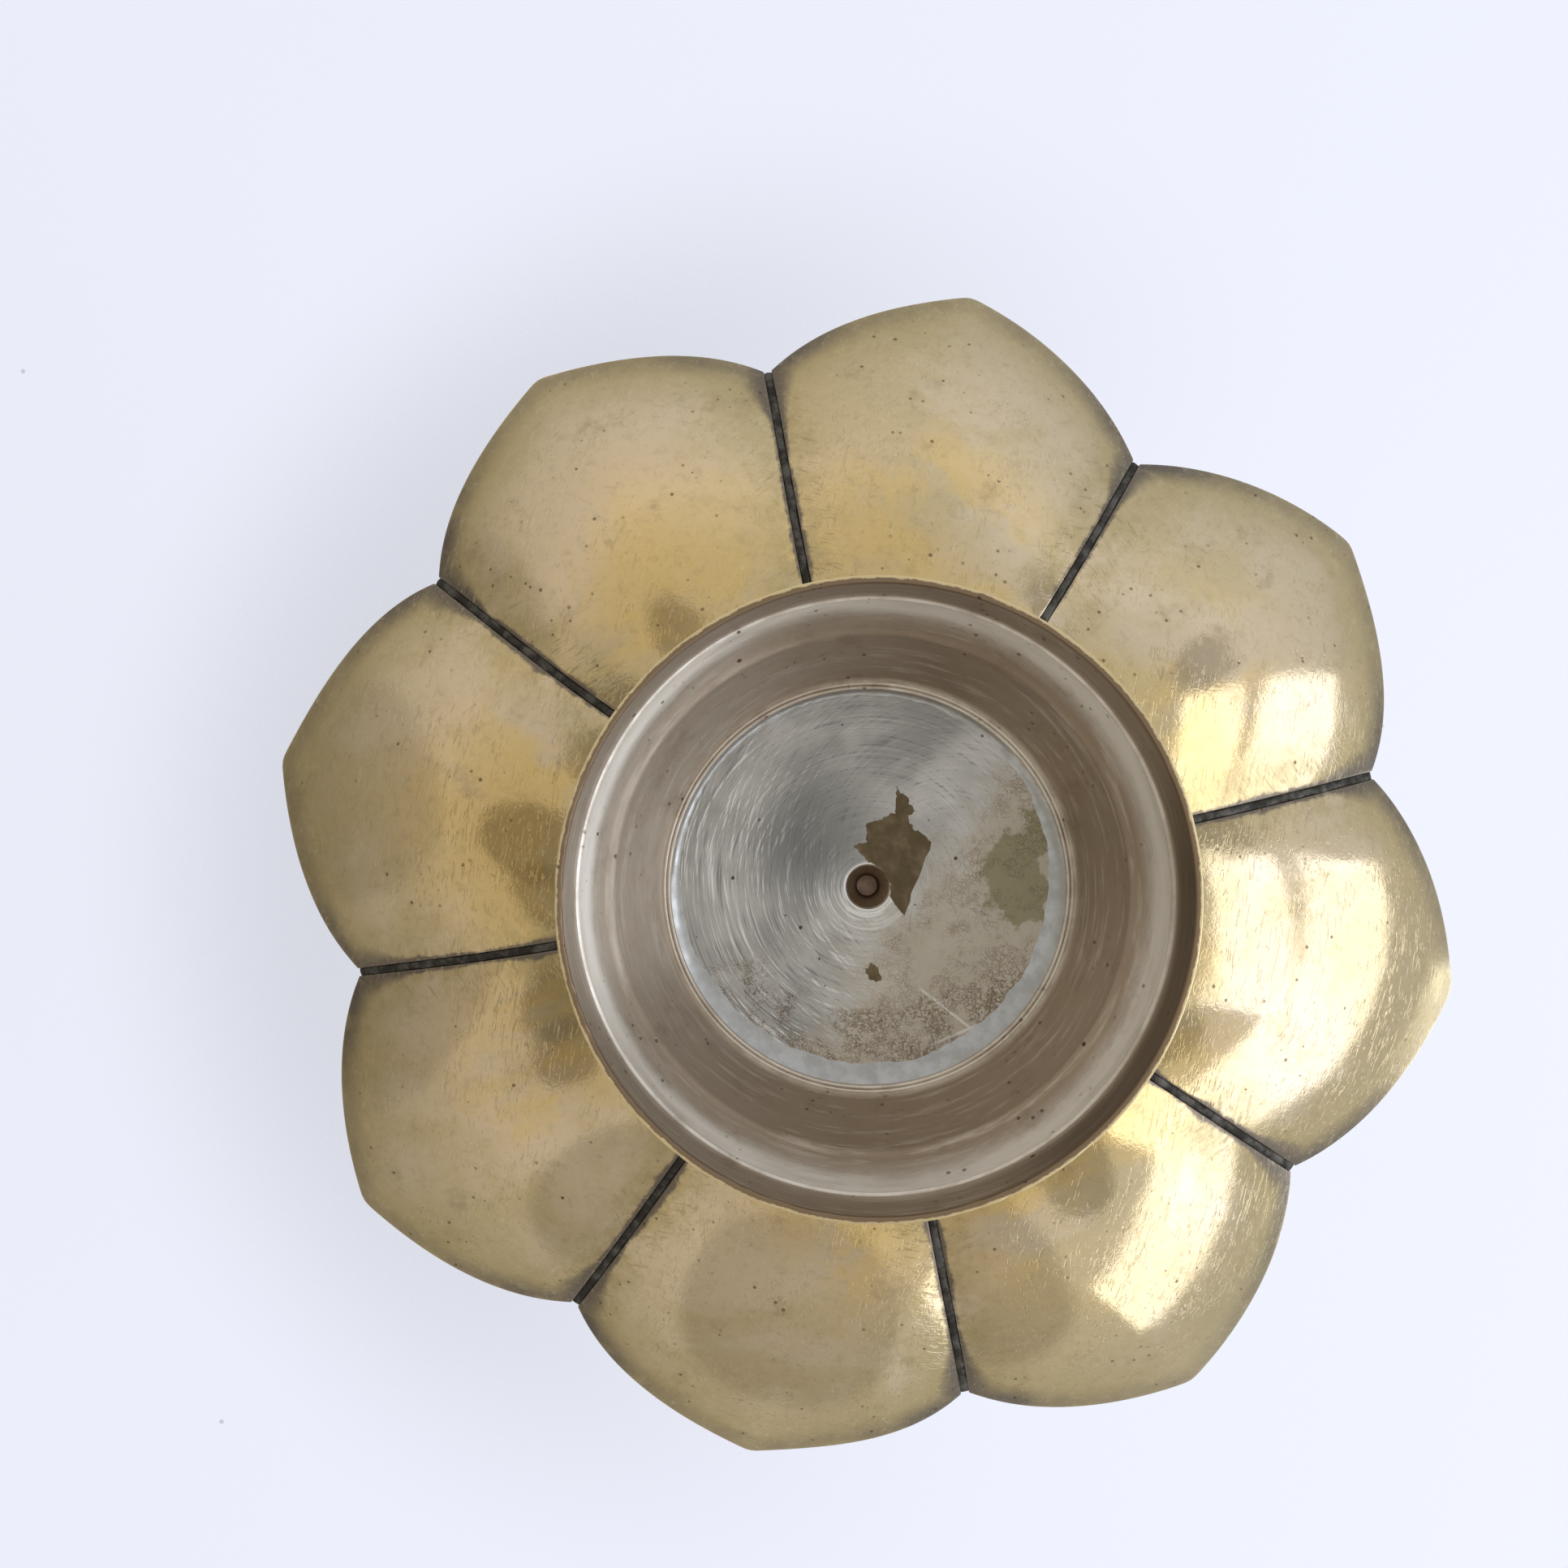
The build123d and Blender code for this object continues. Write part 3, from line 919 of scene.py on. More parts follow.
@dataclass(frozen=True)
class PetalShape:
    """The drawn shape of a petal, with its middle along +X."""

    hub_radius: float
    tip_radius: float
    floor_height: float
    count: int = 8
    notch_depth: float = 11.5
    tip_height: float = 44.2
    hub_rise: float = 1.6
    sheet: float = 1.3
    start_deg: float = 3.0
    lobe_hub_deg: float = 8.0
    lobe_notch_deg: float = 31.0
    tip_edge_deg: float = 21.0
    notch_edge_deg: float = 57.0
    seam_width: float = 1.0

    @property
    def half_pitch(self) -> float:
        """Half the angle that a petal takes, in radians."""
        return math.pi / self.count

    @property
    def notch_radius(self) -> float:
        """Distance from the axis to a notch."""
        return self.tip_radius - self.notch_depth

    @property
    def hub_height(self) -> float:
        """Height of the outer face at the hub."""
        return self.floor_height + self.hub_rise

    @property
    def end_angle(self) -> float:
        """Slope of the middle line at the point."""
        chord = math.atan2(self.tip_height - self.hub_height, self.tip_radius - self.hub_radius)
        return 2.0 * chord - math.radians(self.start_deg)

    @property
    def crown_radius(self) -> float:
        """Radius of the middle line's arc."""
        turn = math.sin(self.end_angle) - math.sin(math.radians(self.start_deg))
        return (self.tip_radius - self.hub_radius) / turn

    def slope(self, x: float) -> float:
        """Slope of the middle line."""
        return math.asin(math.sin(math.radians(self.start_deg)) + (x - self.hub_radius) / self.crown_radius)

    def crown(self, x: float) -> float:
        """Height of the outer face on the middle line."""
        drop = math.cos(math.radians(self.start_deg)) - math.cos(self.slope(x))
        return self.hub_height + self.crown_radius * drop

    def lobe_radius(self, x: float) -> float:
        """Radius of the section's arc."""
        inner = self.hub_radius * math.cos(self.half_pitch)
        outer = self.notch_radius * math.cos(self.half_pitch)
        share = (x - inner) / (outer - inner)
        angle = self.lobe_hub_deg + share * (self.lobe_notch_deg - self.lobe_hub_deg)
        return x * math.tan(self.half_pitch) / math.sin(math.radians(angle))

    def outer(self, x: float, y: float) -> float:
        """Height of the outer face."""
        radius = self.lobe_radius(x)
        return self.crown(x) + radius - math.sqrt(radius**2 - y**2)

    def inner(self, x: float, y: float) -> float:
        """Height of the inner face."""
        radius = self.lobe_radius(x)
        wall = self.sheet / math.cos(self.slope(x))
        return self.crown(x) + radius - math.sqrt((radius - wall) ** 2 - y**2)

    def side(self, reach: float) -> Vector:
        """Point on the side face, a distance along the seam."""
        across, half = self.half_pitch, self.seam_width / 2.0
        x = reach * math.cos(across) + half * math.sin(across)
        return Vector((x, reach * math.sin(across) - half * math.cos(across), 0.0))

    def to_seam(self, x: float, y: float) -> float:
        """Distance from a point of the petal to the nearer side face."""
        return x * math.sin(self.half_pitch) - abs(y) * math.cos(self.half_pitch) - self.seam_width / 2.0


@dataclass
class LotusPetals:
    """The eight petals, each a sheet of its own."""

    shape: PetalShape
    hand: HandWork
    finish: Finish
    rows_along: int = 40
    rows_across: int = 36
    edge_round: float = 0.14

    def outline(self, steps: int) -> list[Vector]:
        """Points from the petal's point to its notch, along the edge."""
        shape = self.shape
        tip, notch = Vector((shape.tip_radius, 0.0, 0.0)), shape.side(shape.notch_radius)
        pull = (notch - tip).length / 3.0
        turn_1, turn_2 = math.radians(shape.tip_edge_deg), math.radians(shape.notch_edge_deg)
        handle_1 = tip + Vector((-math.sin(turn_1), math.cos(turn_1), 0.0)) * pull
        handle_2 = notch - Vector((-math.sin(turn_2), math.cos(turn_2), 0.0)) * pull
        return list(interpolate_bezier(tip, handle_1, handle_2, notch, steps + 1))

    def sheet(self) -> bmesh.types.BMesh:
        """The outer face of the first petal, with its distances from seam and rim stored on it."""
        shape, half_rows = self.shape, self.rows_across // 2
        edge = self.outline(half_rows)
        root_reach = math.sqrt(shape.hub_radius**2 - (shape.seam_width / 2.0) ** 2)
        root = shape.side(root_reach)
        root_angle = math.atan2(root.y, root.x)
        bm = bmesh.new()
        to_rim = bm.verts.layers.float.new("rim_distance")
        to_seam = bm.verts.layers.float.new("seam_distance")
        bmesh.ops.create_grid(bm, x_segments=self.rows_along, y_segments=self.rows_across, size=1.0)
        for vert in bm.verts:
            along, across = (vert.co.x + 1.0) / 2.0, vert.co.y
            sign = 1.0 if across >= 0.0 else -1.0
            end = edge[round(abs(across) * half_rows)].copy()
            end.y *= sign
            turn = across * root_angle
            start = Vector((math.cos(turn), math.sin(turn), 0.0)) * shape.hub_radius
            flat = start.lerp(end, along)
            vert[to_rim] = (1.0 - along) * (end - start).length
            vert[to_seam] = shape.to_seam(flat.x, flat.y)
            vert.co = (flat.x, flat.y, shape.outer(flat.x, flat.y))
        return bm

    def build(self) -> list[bpy.types.Object]:
        """Makes the petals."""
        material = self.finish.material()
        pieces = []
        for index in range(self.shape.count):
            bm = self.sheet()
            shell = bmesh.ops.extrude_face_region(bm, geom=bm.faces[:])
            for vert in (item for item in shell["geom"] if isinstance(item, bmesh.types.BMVert)):
                vert.co.z = self.shape.inner(vert.co.x, vert.co.y)
            bmesh.ops.recalc_face_normals(bm, faces=bm.faces)
            corners = [edge for edge in bm.edges if edge.calc_face_angle(0.0) > math.radians(50.0)]
            bmesh.ops.bevel(
                bm,
                geom=corners,
                offset=self.edge_round,
                segments=2,
                profile=0.5,
                affect="EDGES",
                material=-1,
                clamp_overlap=True,
            )
            turn = Matrix.Rotation(index * 2.0 * self.shape.half_pitch, 3, "Z")
            bmesh.ops.rotate(bm, cent=(0, 0, 0), matrix=turn, verts=bm.verts)
            for vert in bm.verts:
                vert.co = self.hand.shaped(vert.co)
            name = f"petal_{index + 1}"
            piece = finish_piece(bm, f"{name}_beaten", Slot.PETALS, [material], [name], sharp_deg=180.0)
            subdivide(piece, 1)
            pieces.append(piece)
        return pieces


def subdivide(piece: bpy.types.Object, levels: int) -> None:
    """Gives a piece a Subdivision Surface, the same for the view and the render."""
    modifier = piece.modifiers.new("smooth_sheet", "SUBSURF")
    modifier.levels = levels
    modifier.render_levels = levels


@dataclass
class SeamSolder:
    """The strips of solder between the petals: lumpy, wider at the notch, with a bead at the foot."""

    shape: PetalShape
    hand: HandWork
    finish: Finish
    recess: float = 0.04
    crown: float = 0.3
    rings: int = 110
    around: int = 16
    notch_spread: float = 0.22
    lump: float = 0.16

    def build(self) -> list[bpy.types.Object]:
        """Makes the eight seams."""
        material = self.finish.material()
        return [self.seam(index, material) for index in range(self.shape.count)]

    def seam(self, index: int, material: bpy.types.Material) -> bpy.types.Object:
        """Makes one seam from a cylinder with many rings, laid along the joint."""
        bm = bmesh.new()
        bmesh.ops.create_cone(bm, segments=self.around, radius1=1.0, radius2=1.0, depth=1.0, cap_ends=True)
        long_edges = [edge for edge in bm.edges if abs(edge.verts[0].co.z - edge.verts[1].co.z) > 0.5]
        bmesh.ops.subdivide_edges(bm, edges=long_edges, cuts=self.rings, use_grid_fill=False)
        turn = Matrix.Rotation((2 * index + 1) * self.shape.half_pitch, 3, "Z")
        for vert in bm.verts:
            vert.co = self.hand.shaped(turn @ self.laid(vert.co, index))
        name = f"seam_solder_{index + 1}"
        return finish_piece(bm, f"{name}_run", Slot.SOLDER, [material], [name], sharp_deg=180.0)

    def laid(self, point: Vector, index: int) -> Vector:
        """Place of a point of the unit cylinder in the seam, with the seam along +X."""
        shape = self.shape
        share = point.z + 0.5
        first = shape.hub_radius - 0.3
        reach = first + (shape.notch_radius + 0.05 - first) * share
        side = shape.side(reach)
        low = shape.outer(side.x, side.y) + self.recess
        high = shape.inner(side.x, side.y) + self.crown
        wave = noise.noise(Vector((reach / 2.2, index * 7.3, 0.0)))
        fine = noise.noise(Vector((reach / 1.3, index * 5.1, 4.0)))
        notch = smooth((reach - shape.notch_radius + 6.0) / 6.0)
        half = shape.seam_width / 2.0 + 0.16 + self.notch_spread * notch + 0.10 * wave + 0.05 * fine
        low -= self.lump * max(wave, 0.0) + 0.03 * fine - 0.12 * notch
        end = min(1.0, 14.0 * share, 110.0 * (1.0 - share))
        squash = math.sqrt(max(0.0, 1.0 - (1.0 - end) ** 2)) * 0.9 + 0.1
        sideways = math.copysign(abs(point.x) ** 0.7, point.x)
        upward = math.copysign(abs(point.y) ** 0.7, point.y)
        wobble = 0.1 * noise.noise(Vector((reach / 5.0, index * 3.3, 8.0)))
        middle, depth = (high + low) / 2.0, (high - low) / 2.0
        return Vector((reach, wobble + half * sideways * squash, middle + depth * upward * squash))


# ---------------------------------------------------------------- foot and disc


@dataclass
class PedestalFoot:
    """The turned foot: rim land, steep lip, step, satin trough, crease, upper wall and double bead."""

    radius: float
    height: float
    floor_radius: float
    finish: Finish
    rim_land: float = 0.8
    band_height: float = 2.6
    band_step: float = 0.3
    lip_depth: float = 6.0
    lip_draft: float = 0.7
    step_width: float = 0.4
    crease_share: float = 0.587
    wall: float = 1.7
    bead_radius: float = 0.5
    bead_drop: float = 1.0
    steps: int = 400

    def profile(self) -> Profile:
        """Closed profile, from the floor's edge down the inside, over the rim and up the outside."""
        bead_out = self.floor_radius + 2.0 * self.bead_radius
        bead_z = self.height - self.bead_drop
        rim_in = self.radius - self.rim_land
        lip = rim_in - self.lip_draft
        trough = lip - self.step_width
        band = self.radius - self.band_step
        crease = (
            bead_out + self.crease_share * (trough - bead_out),
            bead_z + self.crease_share * (self.lip_depth - bead_z),
        )
        neck = bead_out + self.wall
        half = self.bead_radius / 2.0
        points = [(self.floor_radius, self.height), (self.floor_radius, bead_z + 0.35)]
        points += arc((self.floor_radius + half, bead_z), half, 180.0, 350.0, 8)
        points += arc((self.floor_radius + 3.0 * half, bead_z - 0.12), half, 190.0, 335.0, 8)
        points += curve((bead_out + 0.05, bead_z - 0.3), 27.0, (crease[0] - 0.05, crease[1] + 0.1), 27.0, 16)
        points += curve(crease, 43.0, (trough - 0.03, self.lip_depth + 0.05), 13.0, 16)
        points += [(trough + 0.05, self.lip_depth + 0.02), (lip - 0.14, self.lip_depth - 0.06)]
        points += [(lip - 0.03, self.lip_depth - 0.2)]
        points += straight((lip, self.lip_depth - 0.3), (rim_in, 0.3), 7)
        points += arc((rim_in + 0.16, 0.16), 0.16, 180.0, 270.0, 5)
        points += straight((rim_in + 0.16, 0.0), (self.radius - 0.16, 0.0), 2)
        points += arc((self.radius - 0.16, 0.16), 0.16, 270.0, 360.0, 5)
        points += straight((self.radius, 0.2), (self.radius, self.band_height - 0.1), 4)
        points += [(self.radius, self.band_height), (self.radius - 0.1, self.band_height + 0.15)]
        points += [(band, self.band_height + self.band_step), (band, self.band_height + 0.6)]
        points += straight((band, self.band_height + 0.6), (band, self.lip_depth), 3)
        points += curve((band, self.lip_depth), 180.0, (crease[0] + self.wall, crease[1]), 211.0, 14)
        points += curve((crease[0] + self.wall, crease[1]), 211.0, (neck, bead_z), 198.0, 14)[1:]
        points += [(neck, self.height - 0.05), (neck - 0.05, self.height)]
        return points

    def build(self) -> bpy.types.Object:
        """Makes the foot, with the nicks that use left in its rim."""
        bm = spin_profile(self.profile(), self.steps, closed=True)
        for vert in bm.verts:
            vert.co += self.nick(vert.co)
        materials = [self.finish.material()]
        return finish_piece(
            bm, "pedestal_foot_turned", Slot.TURNED, materials, ["pedestal_foot"], sharp_deg=32.0
        )

    def nick(self, point: Vector) -> Vector:
        """How far wear and knocks have moved a point of the rim."""
        if point.z > 0.7 or math.hypot(point.x, point.y) < self.radius - 1.4:
            return Vector()
        angle = math.atan2(point.y, point.x)
        bearing = (-math.degrees(angle) + VIEW.turn_deg) % 360.0
        battered = smooth((bearing - 150.0) / 12.0) * smooth((262.0 - bearing) / 14.0)
        arc_place = Vector((point.x / 0.9, point.y / 0.9, 1.3))
        chips = max(0.0, noise.noise(arc_place) - 0.12) * 0.75 * battered
        chips += max(0.0, noise.noise(arc_place * 0.37 + Vector((5.0, 2.0, 0.0))) - 0.42) * 0.7
        dent = 0.4 * math.exp(-(((bearing - 179.0) / 1.6) ** 2))
        depth = (chips + dent) * (1.0 - point.z / 0.7)
        inward = Vector((-math.cos(angle), -math.sin(angle), 0.0)) * depth * 0.25
        return inward + Vector((0.0, 0.0, depth * 0.55))


@dataclass
class BaseDisc:
    """The turned disc between foot and petals: its faced underside, centre hole and patches of cast skin."""

    radius: float
    floor_height: float
    top: float
    finish: Finish
    skin: Finish
    upper: Finish
    edge_round: float = 0.6
    mouth: float = 2.65
    pilot: float = 1.25
    cone_deg: float = 60.0
    pilot_depth: float = 0.4
    chamfer: float = 0.22
    steps: int = 240
    skin_rise: float = 0.05
    large_patch: tuple[Point, ...] = (
        (3.4, 12.1), (4.4, 11.2), (5.9, 9.2), (4.9, 8.6), (5.4, 7.2), (7.7, 5.5), (4.4, -3.6), (2.95, -1.6),
        (2.6, 0.6), (1.5, 2.4), (-0.1, 3.2), (-1.8, 5.0), (-0.1, 5.6), (-0.2, 7.6), (1.9, 8.5), (3.4, 8.9),
    )
    small_patch: tuple[Point, ...] = ((-0.4, -10.0), (0.5, -9.3), (1.3, -10.4), (1.6, -11.4), (0.1, -11.2))

    def profile(self) -> Profile:
        """Profile from the hole's bottom, along the underside, round the edge and over the top."""
        floor, mouth, rounded = self.floor_height, self.mouth, self.edge_round
        neck = floor + (mouth - self.pilot) / math.tan(math.radians(self.cone_deg / 2.0))
        bottom = neck + self.pilot_depth
        points = [(0.0, bottom + 0.25), (self.pilot * 0.7, bottom)]
        points += [(self.pilot, bottom - 0.15), (self.pilot, neck + 0.05)]
        points += straight((self.pilot, neck), (mouth, floor + self.chamfer), 8)
        points += [(mouth, floor + self.chamfer), (mouth + 0.1, floor + 0.04), (mouth + 0.3, floor)]
        points += straight((mouth + 0.3, floor), (self.radius - 0.3, floor), 46)
        points += [(self.radius - 0.1, floor), (self.radius, floor + 0.1)]
        points += straight((self.radius, floor + 0.1), (self.radius, self.top - rounded), 3)
        points += arc((self.radius - rounded, self.top - rounded), rounded, 0.0, 90.0, 8)
        points += straight((self.radius - rounded, self.top), (0.0, self.top), 30)
        points += [(0.0, self.top)]
        return points

    def build(self) -> bpy.types.Object:
        """Makes the disc with its patches."""
        bm = spin_profile(self.profile(), self.steps, closed=False)
        upper = self.floor_height + 1.0
        for face in bm.faces:
            middle = face.calc_center_median()
            seen_above = middle.z > upper and math.hypot(middle.x, middle.y) > self.mouth
            face.material_index = 2 if seen_above or middle.z > self.top - 0.01 else 0
        for seed, outline in enumerate((self.large_patch, self.small_patch)):
            self.add_patch(bm, outline, seed + 3)
        return finish_piece(
            bm,
            "base_disc_faced",
            Slot.CASTING,
            [self.finish.material(), self.skin.material(), self.upper.material()],
            ["base_disc"],
            sharp_deg=35.0,
        )

    @staticmethod
    def torn(place: Vector) -> Vector:
        """Shift in plan of a point on a torn edge, the same in each run."""
        return Vector((noise.noise(place), noise.noise(place + Vector((31.7, 12.9, 0.0))), 0.0))

    def add_patch(self, bm: bmesh.types.BMesh, outline: Sequence[Point], seed: int) -> None:
        """Adds a thin flake with a torn edge to the underside.

        Args:
            bm: The disc's mesh.
            outline: Corners along the view's right and up from the axis.
            seed: Start of the torn edge's random shape.
        """
        height = Vector((0.0, 0.0, self.floor_height - self.skin_rise))
        corners = [bm.verts.new(VIEW.on_floor(*corner) + height) for corner in outline]
        loop = [bm.edges.new(pair) for pair in zip(corners, corners[1:] + corners[:1])]
        torn = bmesh.ops.subdivide_edges(bm, edges=loop, cuts=9)
        for item in torn["geom_inner"]:
            if isinstance(item, bmesh.types.BMVert):
                place = item.co * 1.9 + Vector((seed, 0.0, 0.0))
                item.co += self.torn(place) * 0.34 + self.torn(place * 3.1) * 0.17
        edges = [item for item in torn["geom"] if isinstance(item, bmesh.types.BMEdge)]
        filled = bmesh.ops.triangle_fill(bm, edges=edges, use_beauty=True)
        faces = [item for item in filled["geom"] if isinstance(item, bmesh.types.BMFace)]
        raised = bmesh.ops.extrude_face_region(bm, geom=faces)
        verts = [item for item in raised["geom"] if isinstance(item, bmesh.types.BMVert)]
        bmesh.ops.translate(bm, vec=(0.0, 0.0, 2.0 * self.skin_rise), verts=verts)
        for vert in verts:
            for face in vert.link_faces:
                face.material_index = 1
        for face in faces:
            if face.is_valid:
                face.material_index = 1


@dataclass
class SolderRings:
    """Solder in the corner between foot and disc, and between the disc's edge and the petals."""

    floor_radius: float
    floor_height: float
    disc_radius: float
    disc_top: float
    hub_radius: float
    shape: PetalShape
    finish: Finish
    hub_finish: Finish
    foot_width: float = 2.4
    foot_depth: float = 0.5
    foot_rows: int = 10
    lobe_deg: float = 58.0
    disc_edge: float = 0.6
    hub_drop: float = 0.35
    hub_sag: float = 0.12
    steps: int = 300

    def foot_ring(self) -> bpy.types.Object:
        """Ring round the floor, with a flowed inner border that is wide on one side."""
        outer, floor = self.floor_radius, self.floor_height
        shares = [row / self.foot_rows for row in range(self.foot_rows)]
        face = [(outer - self.foot_width * t, floor - self.foot_depth * (1.0 - t) ** 2) for t in shares]
        profile = [(outer, floor + 0.05), *face, (outer - self.foot_width, floor + 0.05)]
        bm = spin_profile(profile, self.steps, closed=True)
        for vert in bm.verts:
            radius, angle = math.hypot(vert.co.x, vert.co.y), math.atan2(vert.co.y, vert.co.x)
            share = (outer - radius) / self.foot_width
            lobe = 0.5 + 0.5 * math.cos(angle - math.radians(self.lobe_deg))
            ragged = noise.noise(Vector((math.cos(angle) * 5.0, math.sin(angle) * 5.0, 2.0)))
            torn = noise.noise(Vector((math.cos(angle) * 22.0, math.sin(angle) * 22.0, 6.0)))
            width = self.foot_width * (0.28 + 0.85 * smooth(lobe) + 0.22 * ragged + 0.10 * torn)
            new_radius = outer - share * width
            vert.co.x, vert.co.y = new_radius * math.cos(angle), new_radius * math.sin(angle)
        return finish_piece(
            bm, "foot_solder_flowed", Slot.SOLDER, [self.finish.material()], ["foot_solder"], sharp_deg=60.0
        )

    def hub_ring(self) -> bpy.types.Object:
        """Ring between the disc's edge and the petals' roots, a little uneven where it meets them."""
        hub, inner = self.hub_radius, self.disc_radius - 0.02
        low = self.shape.hub_height - self.hub_drop
        side = self.shape.side(hub)
        end = (hub + 0.25, self.shape.inner(side.x, side.y) + 0.3)
        start = (inner, self.disc_top - self.disc_edge)
        profile = [(inner, low), (hub - 0.3, low - 0.03), (hub + 0.1, low)]
        profile += [*straight((hub + 0.15, low + 0.15), end, 4), end]
        for radius, height in straight(end, start, 6):
            sag = math.sin(math.pi * (end[0] - radius) / (end[0] - start[0]))
            profile.append((radius, height - self.hub_sag * sag))
        profile.append(start)
        bm = spin_profile(profile, self.steps, closed=True)
        for vert in bm.verts:
            place = Vector((vert.co.x / 1.6, vert.co.y / 1.6, vert.co.z / 3.0))
            vert.co.z += 0.10 * noise.noise(place)
        return finish_piece(
            bm, "hub_solder_flowed", Slot.SOLDER, [self.hub_finish.material()], ["hub_solder"], sharp_deg=60.0
        )


# ---------------------------------------------------------------- camera, stage and light


@dataclass(frozen=True)
class CameraRig:
    """The camera below the lamp."""

    view: ViewFrame

    def build(self) -> bpy.types.Object:
        """Makes the camera and gives it to the scene."""
        data = bpy.data.cameras.new("camera")
        data.sensor_width = self.view.sensor
        data.lens = self.view.lens
        data.clip_start, data.clip_end = 0.005, 50.0
        camera = bpy.data.objects.new("camera", data)
        bpy.context.scene.collection.objects.link(camera)
        back = Vector((0.0, 0.0, -1.0))
        turn = Matrix((self.view.right, self.view.up, back)).transposed()
        camera.matrix_world = Matrix.Translation(self.view.eye * MM) @ turn.to_4x4()
        bpy.context.scene.camera = camera
        return camera


@dataclass(frozen=True)
class PaleSurface:
    """A pale sheet that is seen from one side only, with a painted soft shadow of the lamp."""

    title: str
    colour: Colour
    glow: float
    shade: float
    shade_colour: Colour = (0.35, 0.37, 0.40)
    shade_bearing_deg: float = 165.0

    def material(self, centre: Vector, radius: float) -> bpy.types.Material:
        """Makes the material.

        Args:
            centre: Middle of the lamp's soft shade on the sheet, in metres.
            radius: Radius of the lamp there.

        Returns:
            The material.
        """
        made = bpy.data.materials.new(self.title)
        made.use_nodes = True
        graph = Graph(made.node_tree)
        output = graph.node("ShaderNodeOutputMaterial")
        place = graph.read("ShaderNodeTexCoord", "Object")
        offset = graph.vector("SUBTRACT", place, tuple(centre))
        distance = graph.vector("LENGTH", offset)
        away = graph.vector("DOT_PRODUCT", offset, tuple(VIEW.toward(self.shade_bearing_deg, 90.0)))
        side = graph.step(away / distance, -0.6, 1.0)
        near = graph.step(distance, radius * 0.9, radius * 1.35, 1.0, 0.0)
        # Painted shadow: darker near the lamp, heavier on one side.
        dim = near * side * self.shade
        tooth = graph.noise(place, 1300.0, 2.0)
        dust = graph.step(graph.cells(place, 30.0), 0.018, 0.026, 0.55, 0.0)
        tone = graph.step(tooth, 0.2, 0.8, 0.0, 0.05) + dust
        colour = graph.mix(dim + tone, self.colour, self.shade_colour)
        matt = graph.node("ShaderNodeBsdfDiffuse")
        graph.feed(matt.inputs["Color"], colour)
        light = graph.node("ShaderNodeEmission")
        graph.feed(light.inputs["Color"], colour)
        graph.feed(light.inputs["Strength"], self.glow)
        both = graph.node("ShaderNodeAddShader")
        graph.feed(both.inputs[0], matt.outputs[0])
        graph.feed(both.inputs[1], light.outputs[0])
        choice = graph.node("ShaderNodeMixShader")
        graph.feed(choice.inputs[0], graph.node("ShaderNodeNewGeometry").outputs["Backfacing"])
        graph.feed(choice.inputs[1], both.outputs[0])
        graph.feed(choice.inputs[2], graph.node("ShaderNodeBsdfTransparent").outputs[0])
        graph.feed(output.inputs["Surface"], choice.outputs[0])
        return made


@dataclass(frozen=True)
class Stage:
    """The pale floor that the lamp stands on, and the pale ground behind it as seen from below."""

    view: ViewFrame
    floor_half: float = 25000.0
    ground_height: float = 300.0
    ground_half: float = 250.0
    lamp_radius: float = 178.0
    lamp_beside: float = 22.3
    lamp_above: float = -28.8
    # Radius of the painted contact shadow round the foot on the floor.
    foot_shade: float = 40.0

    def build(self) -> list[bpy.types.Object]:
        """Makes both sheets."""
        eye = self.view.eye
        ground = Vector((eye.x, eye.y, self.ground_height))
        middle = ground + self.view.right * self.lamp_beside + self.view.up * self.lamp_above
        pale = PaleSurface("pale_ground", (0.745, 0.785, 0.92), 0.42, 0.36)
        pale_ground = pale.material(middle * MM, self.lamp_radius * MM)
        pale = PaleSurface("pale_floor", (0.80, 0.82, 0.86), 0.0, 0.45)
        pale_floor = pale.material(Vector(), self.foot_shade * MM)
        return [
            self.sheet("ground", ground, self.ground_half, True, pale_ground),
            self.sheet("floor", Vector(), self.floor_half, False, pale_floor),
        ]

    def sheet(
        self, name: str, centre: Vector, half: float, facing_down: bool, material: bpy.types.Material
    ) -> bpy.types.Object:
        """Makes a square sheet that only the camera sees.

        Args:
            name: Name of the object.
            centre: Its middle, in millimetres.
            half: Half its side.
            facing_down: Whether its visible side looks down.
            material: What it is made of.

        Returns:
            The sheet.
        """
        bm = bmesh.new()
        bmesh.ops.create_grid(bm, x_segments=1, y_segments=1, size=half)
        if facing_down:
            bmesh.ops.reverse_faces(bm, faces=bm.faces)
        turn = Matrix.Rotation(math.radians(self.view.turn_deg), 3, "Z")
        bmesh.ops.rotate(bm, cent=(0, 0, 0), matrix=turn, verts=bm.verts)
        bmesh.ops.translate(bm, vec=centre, verts=bm.verts)
        bmesh.ops.scale(bm, vec=(MM, MM, MM), verts=bm.verts)
        mesh = bpy.data.meshes.new(name)
        bm.to_mesh(mesh)
        bm.free()
        mesh.materials.append(material)
        sheet = bpy.data.objects.new(name, mesh)
        bpy.context.scene.collection.objects.link(sheet)
        sheet.visible_diffuse = False
        sheet.visible_glossy = False
        sheet.visible_transmission = False
        sheet.visible_shadow = False
        return sheet


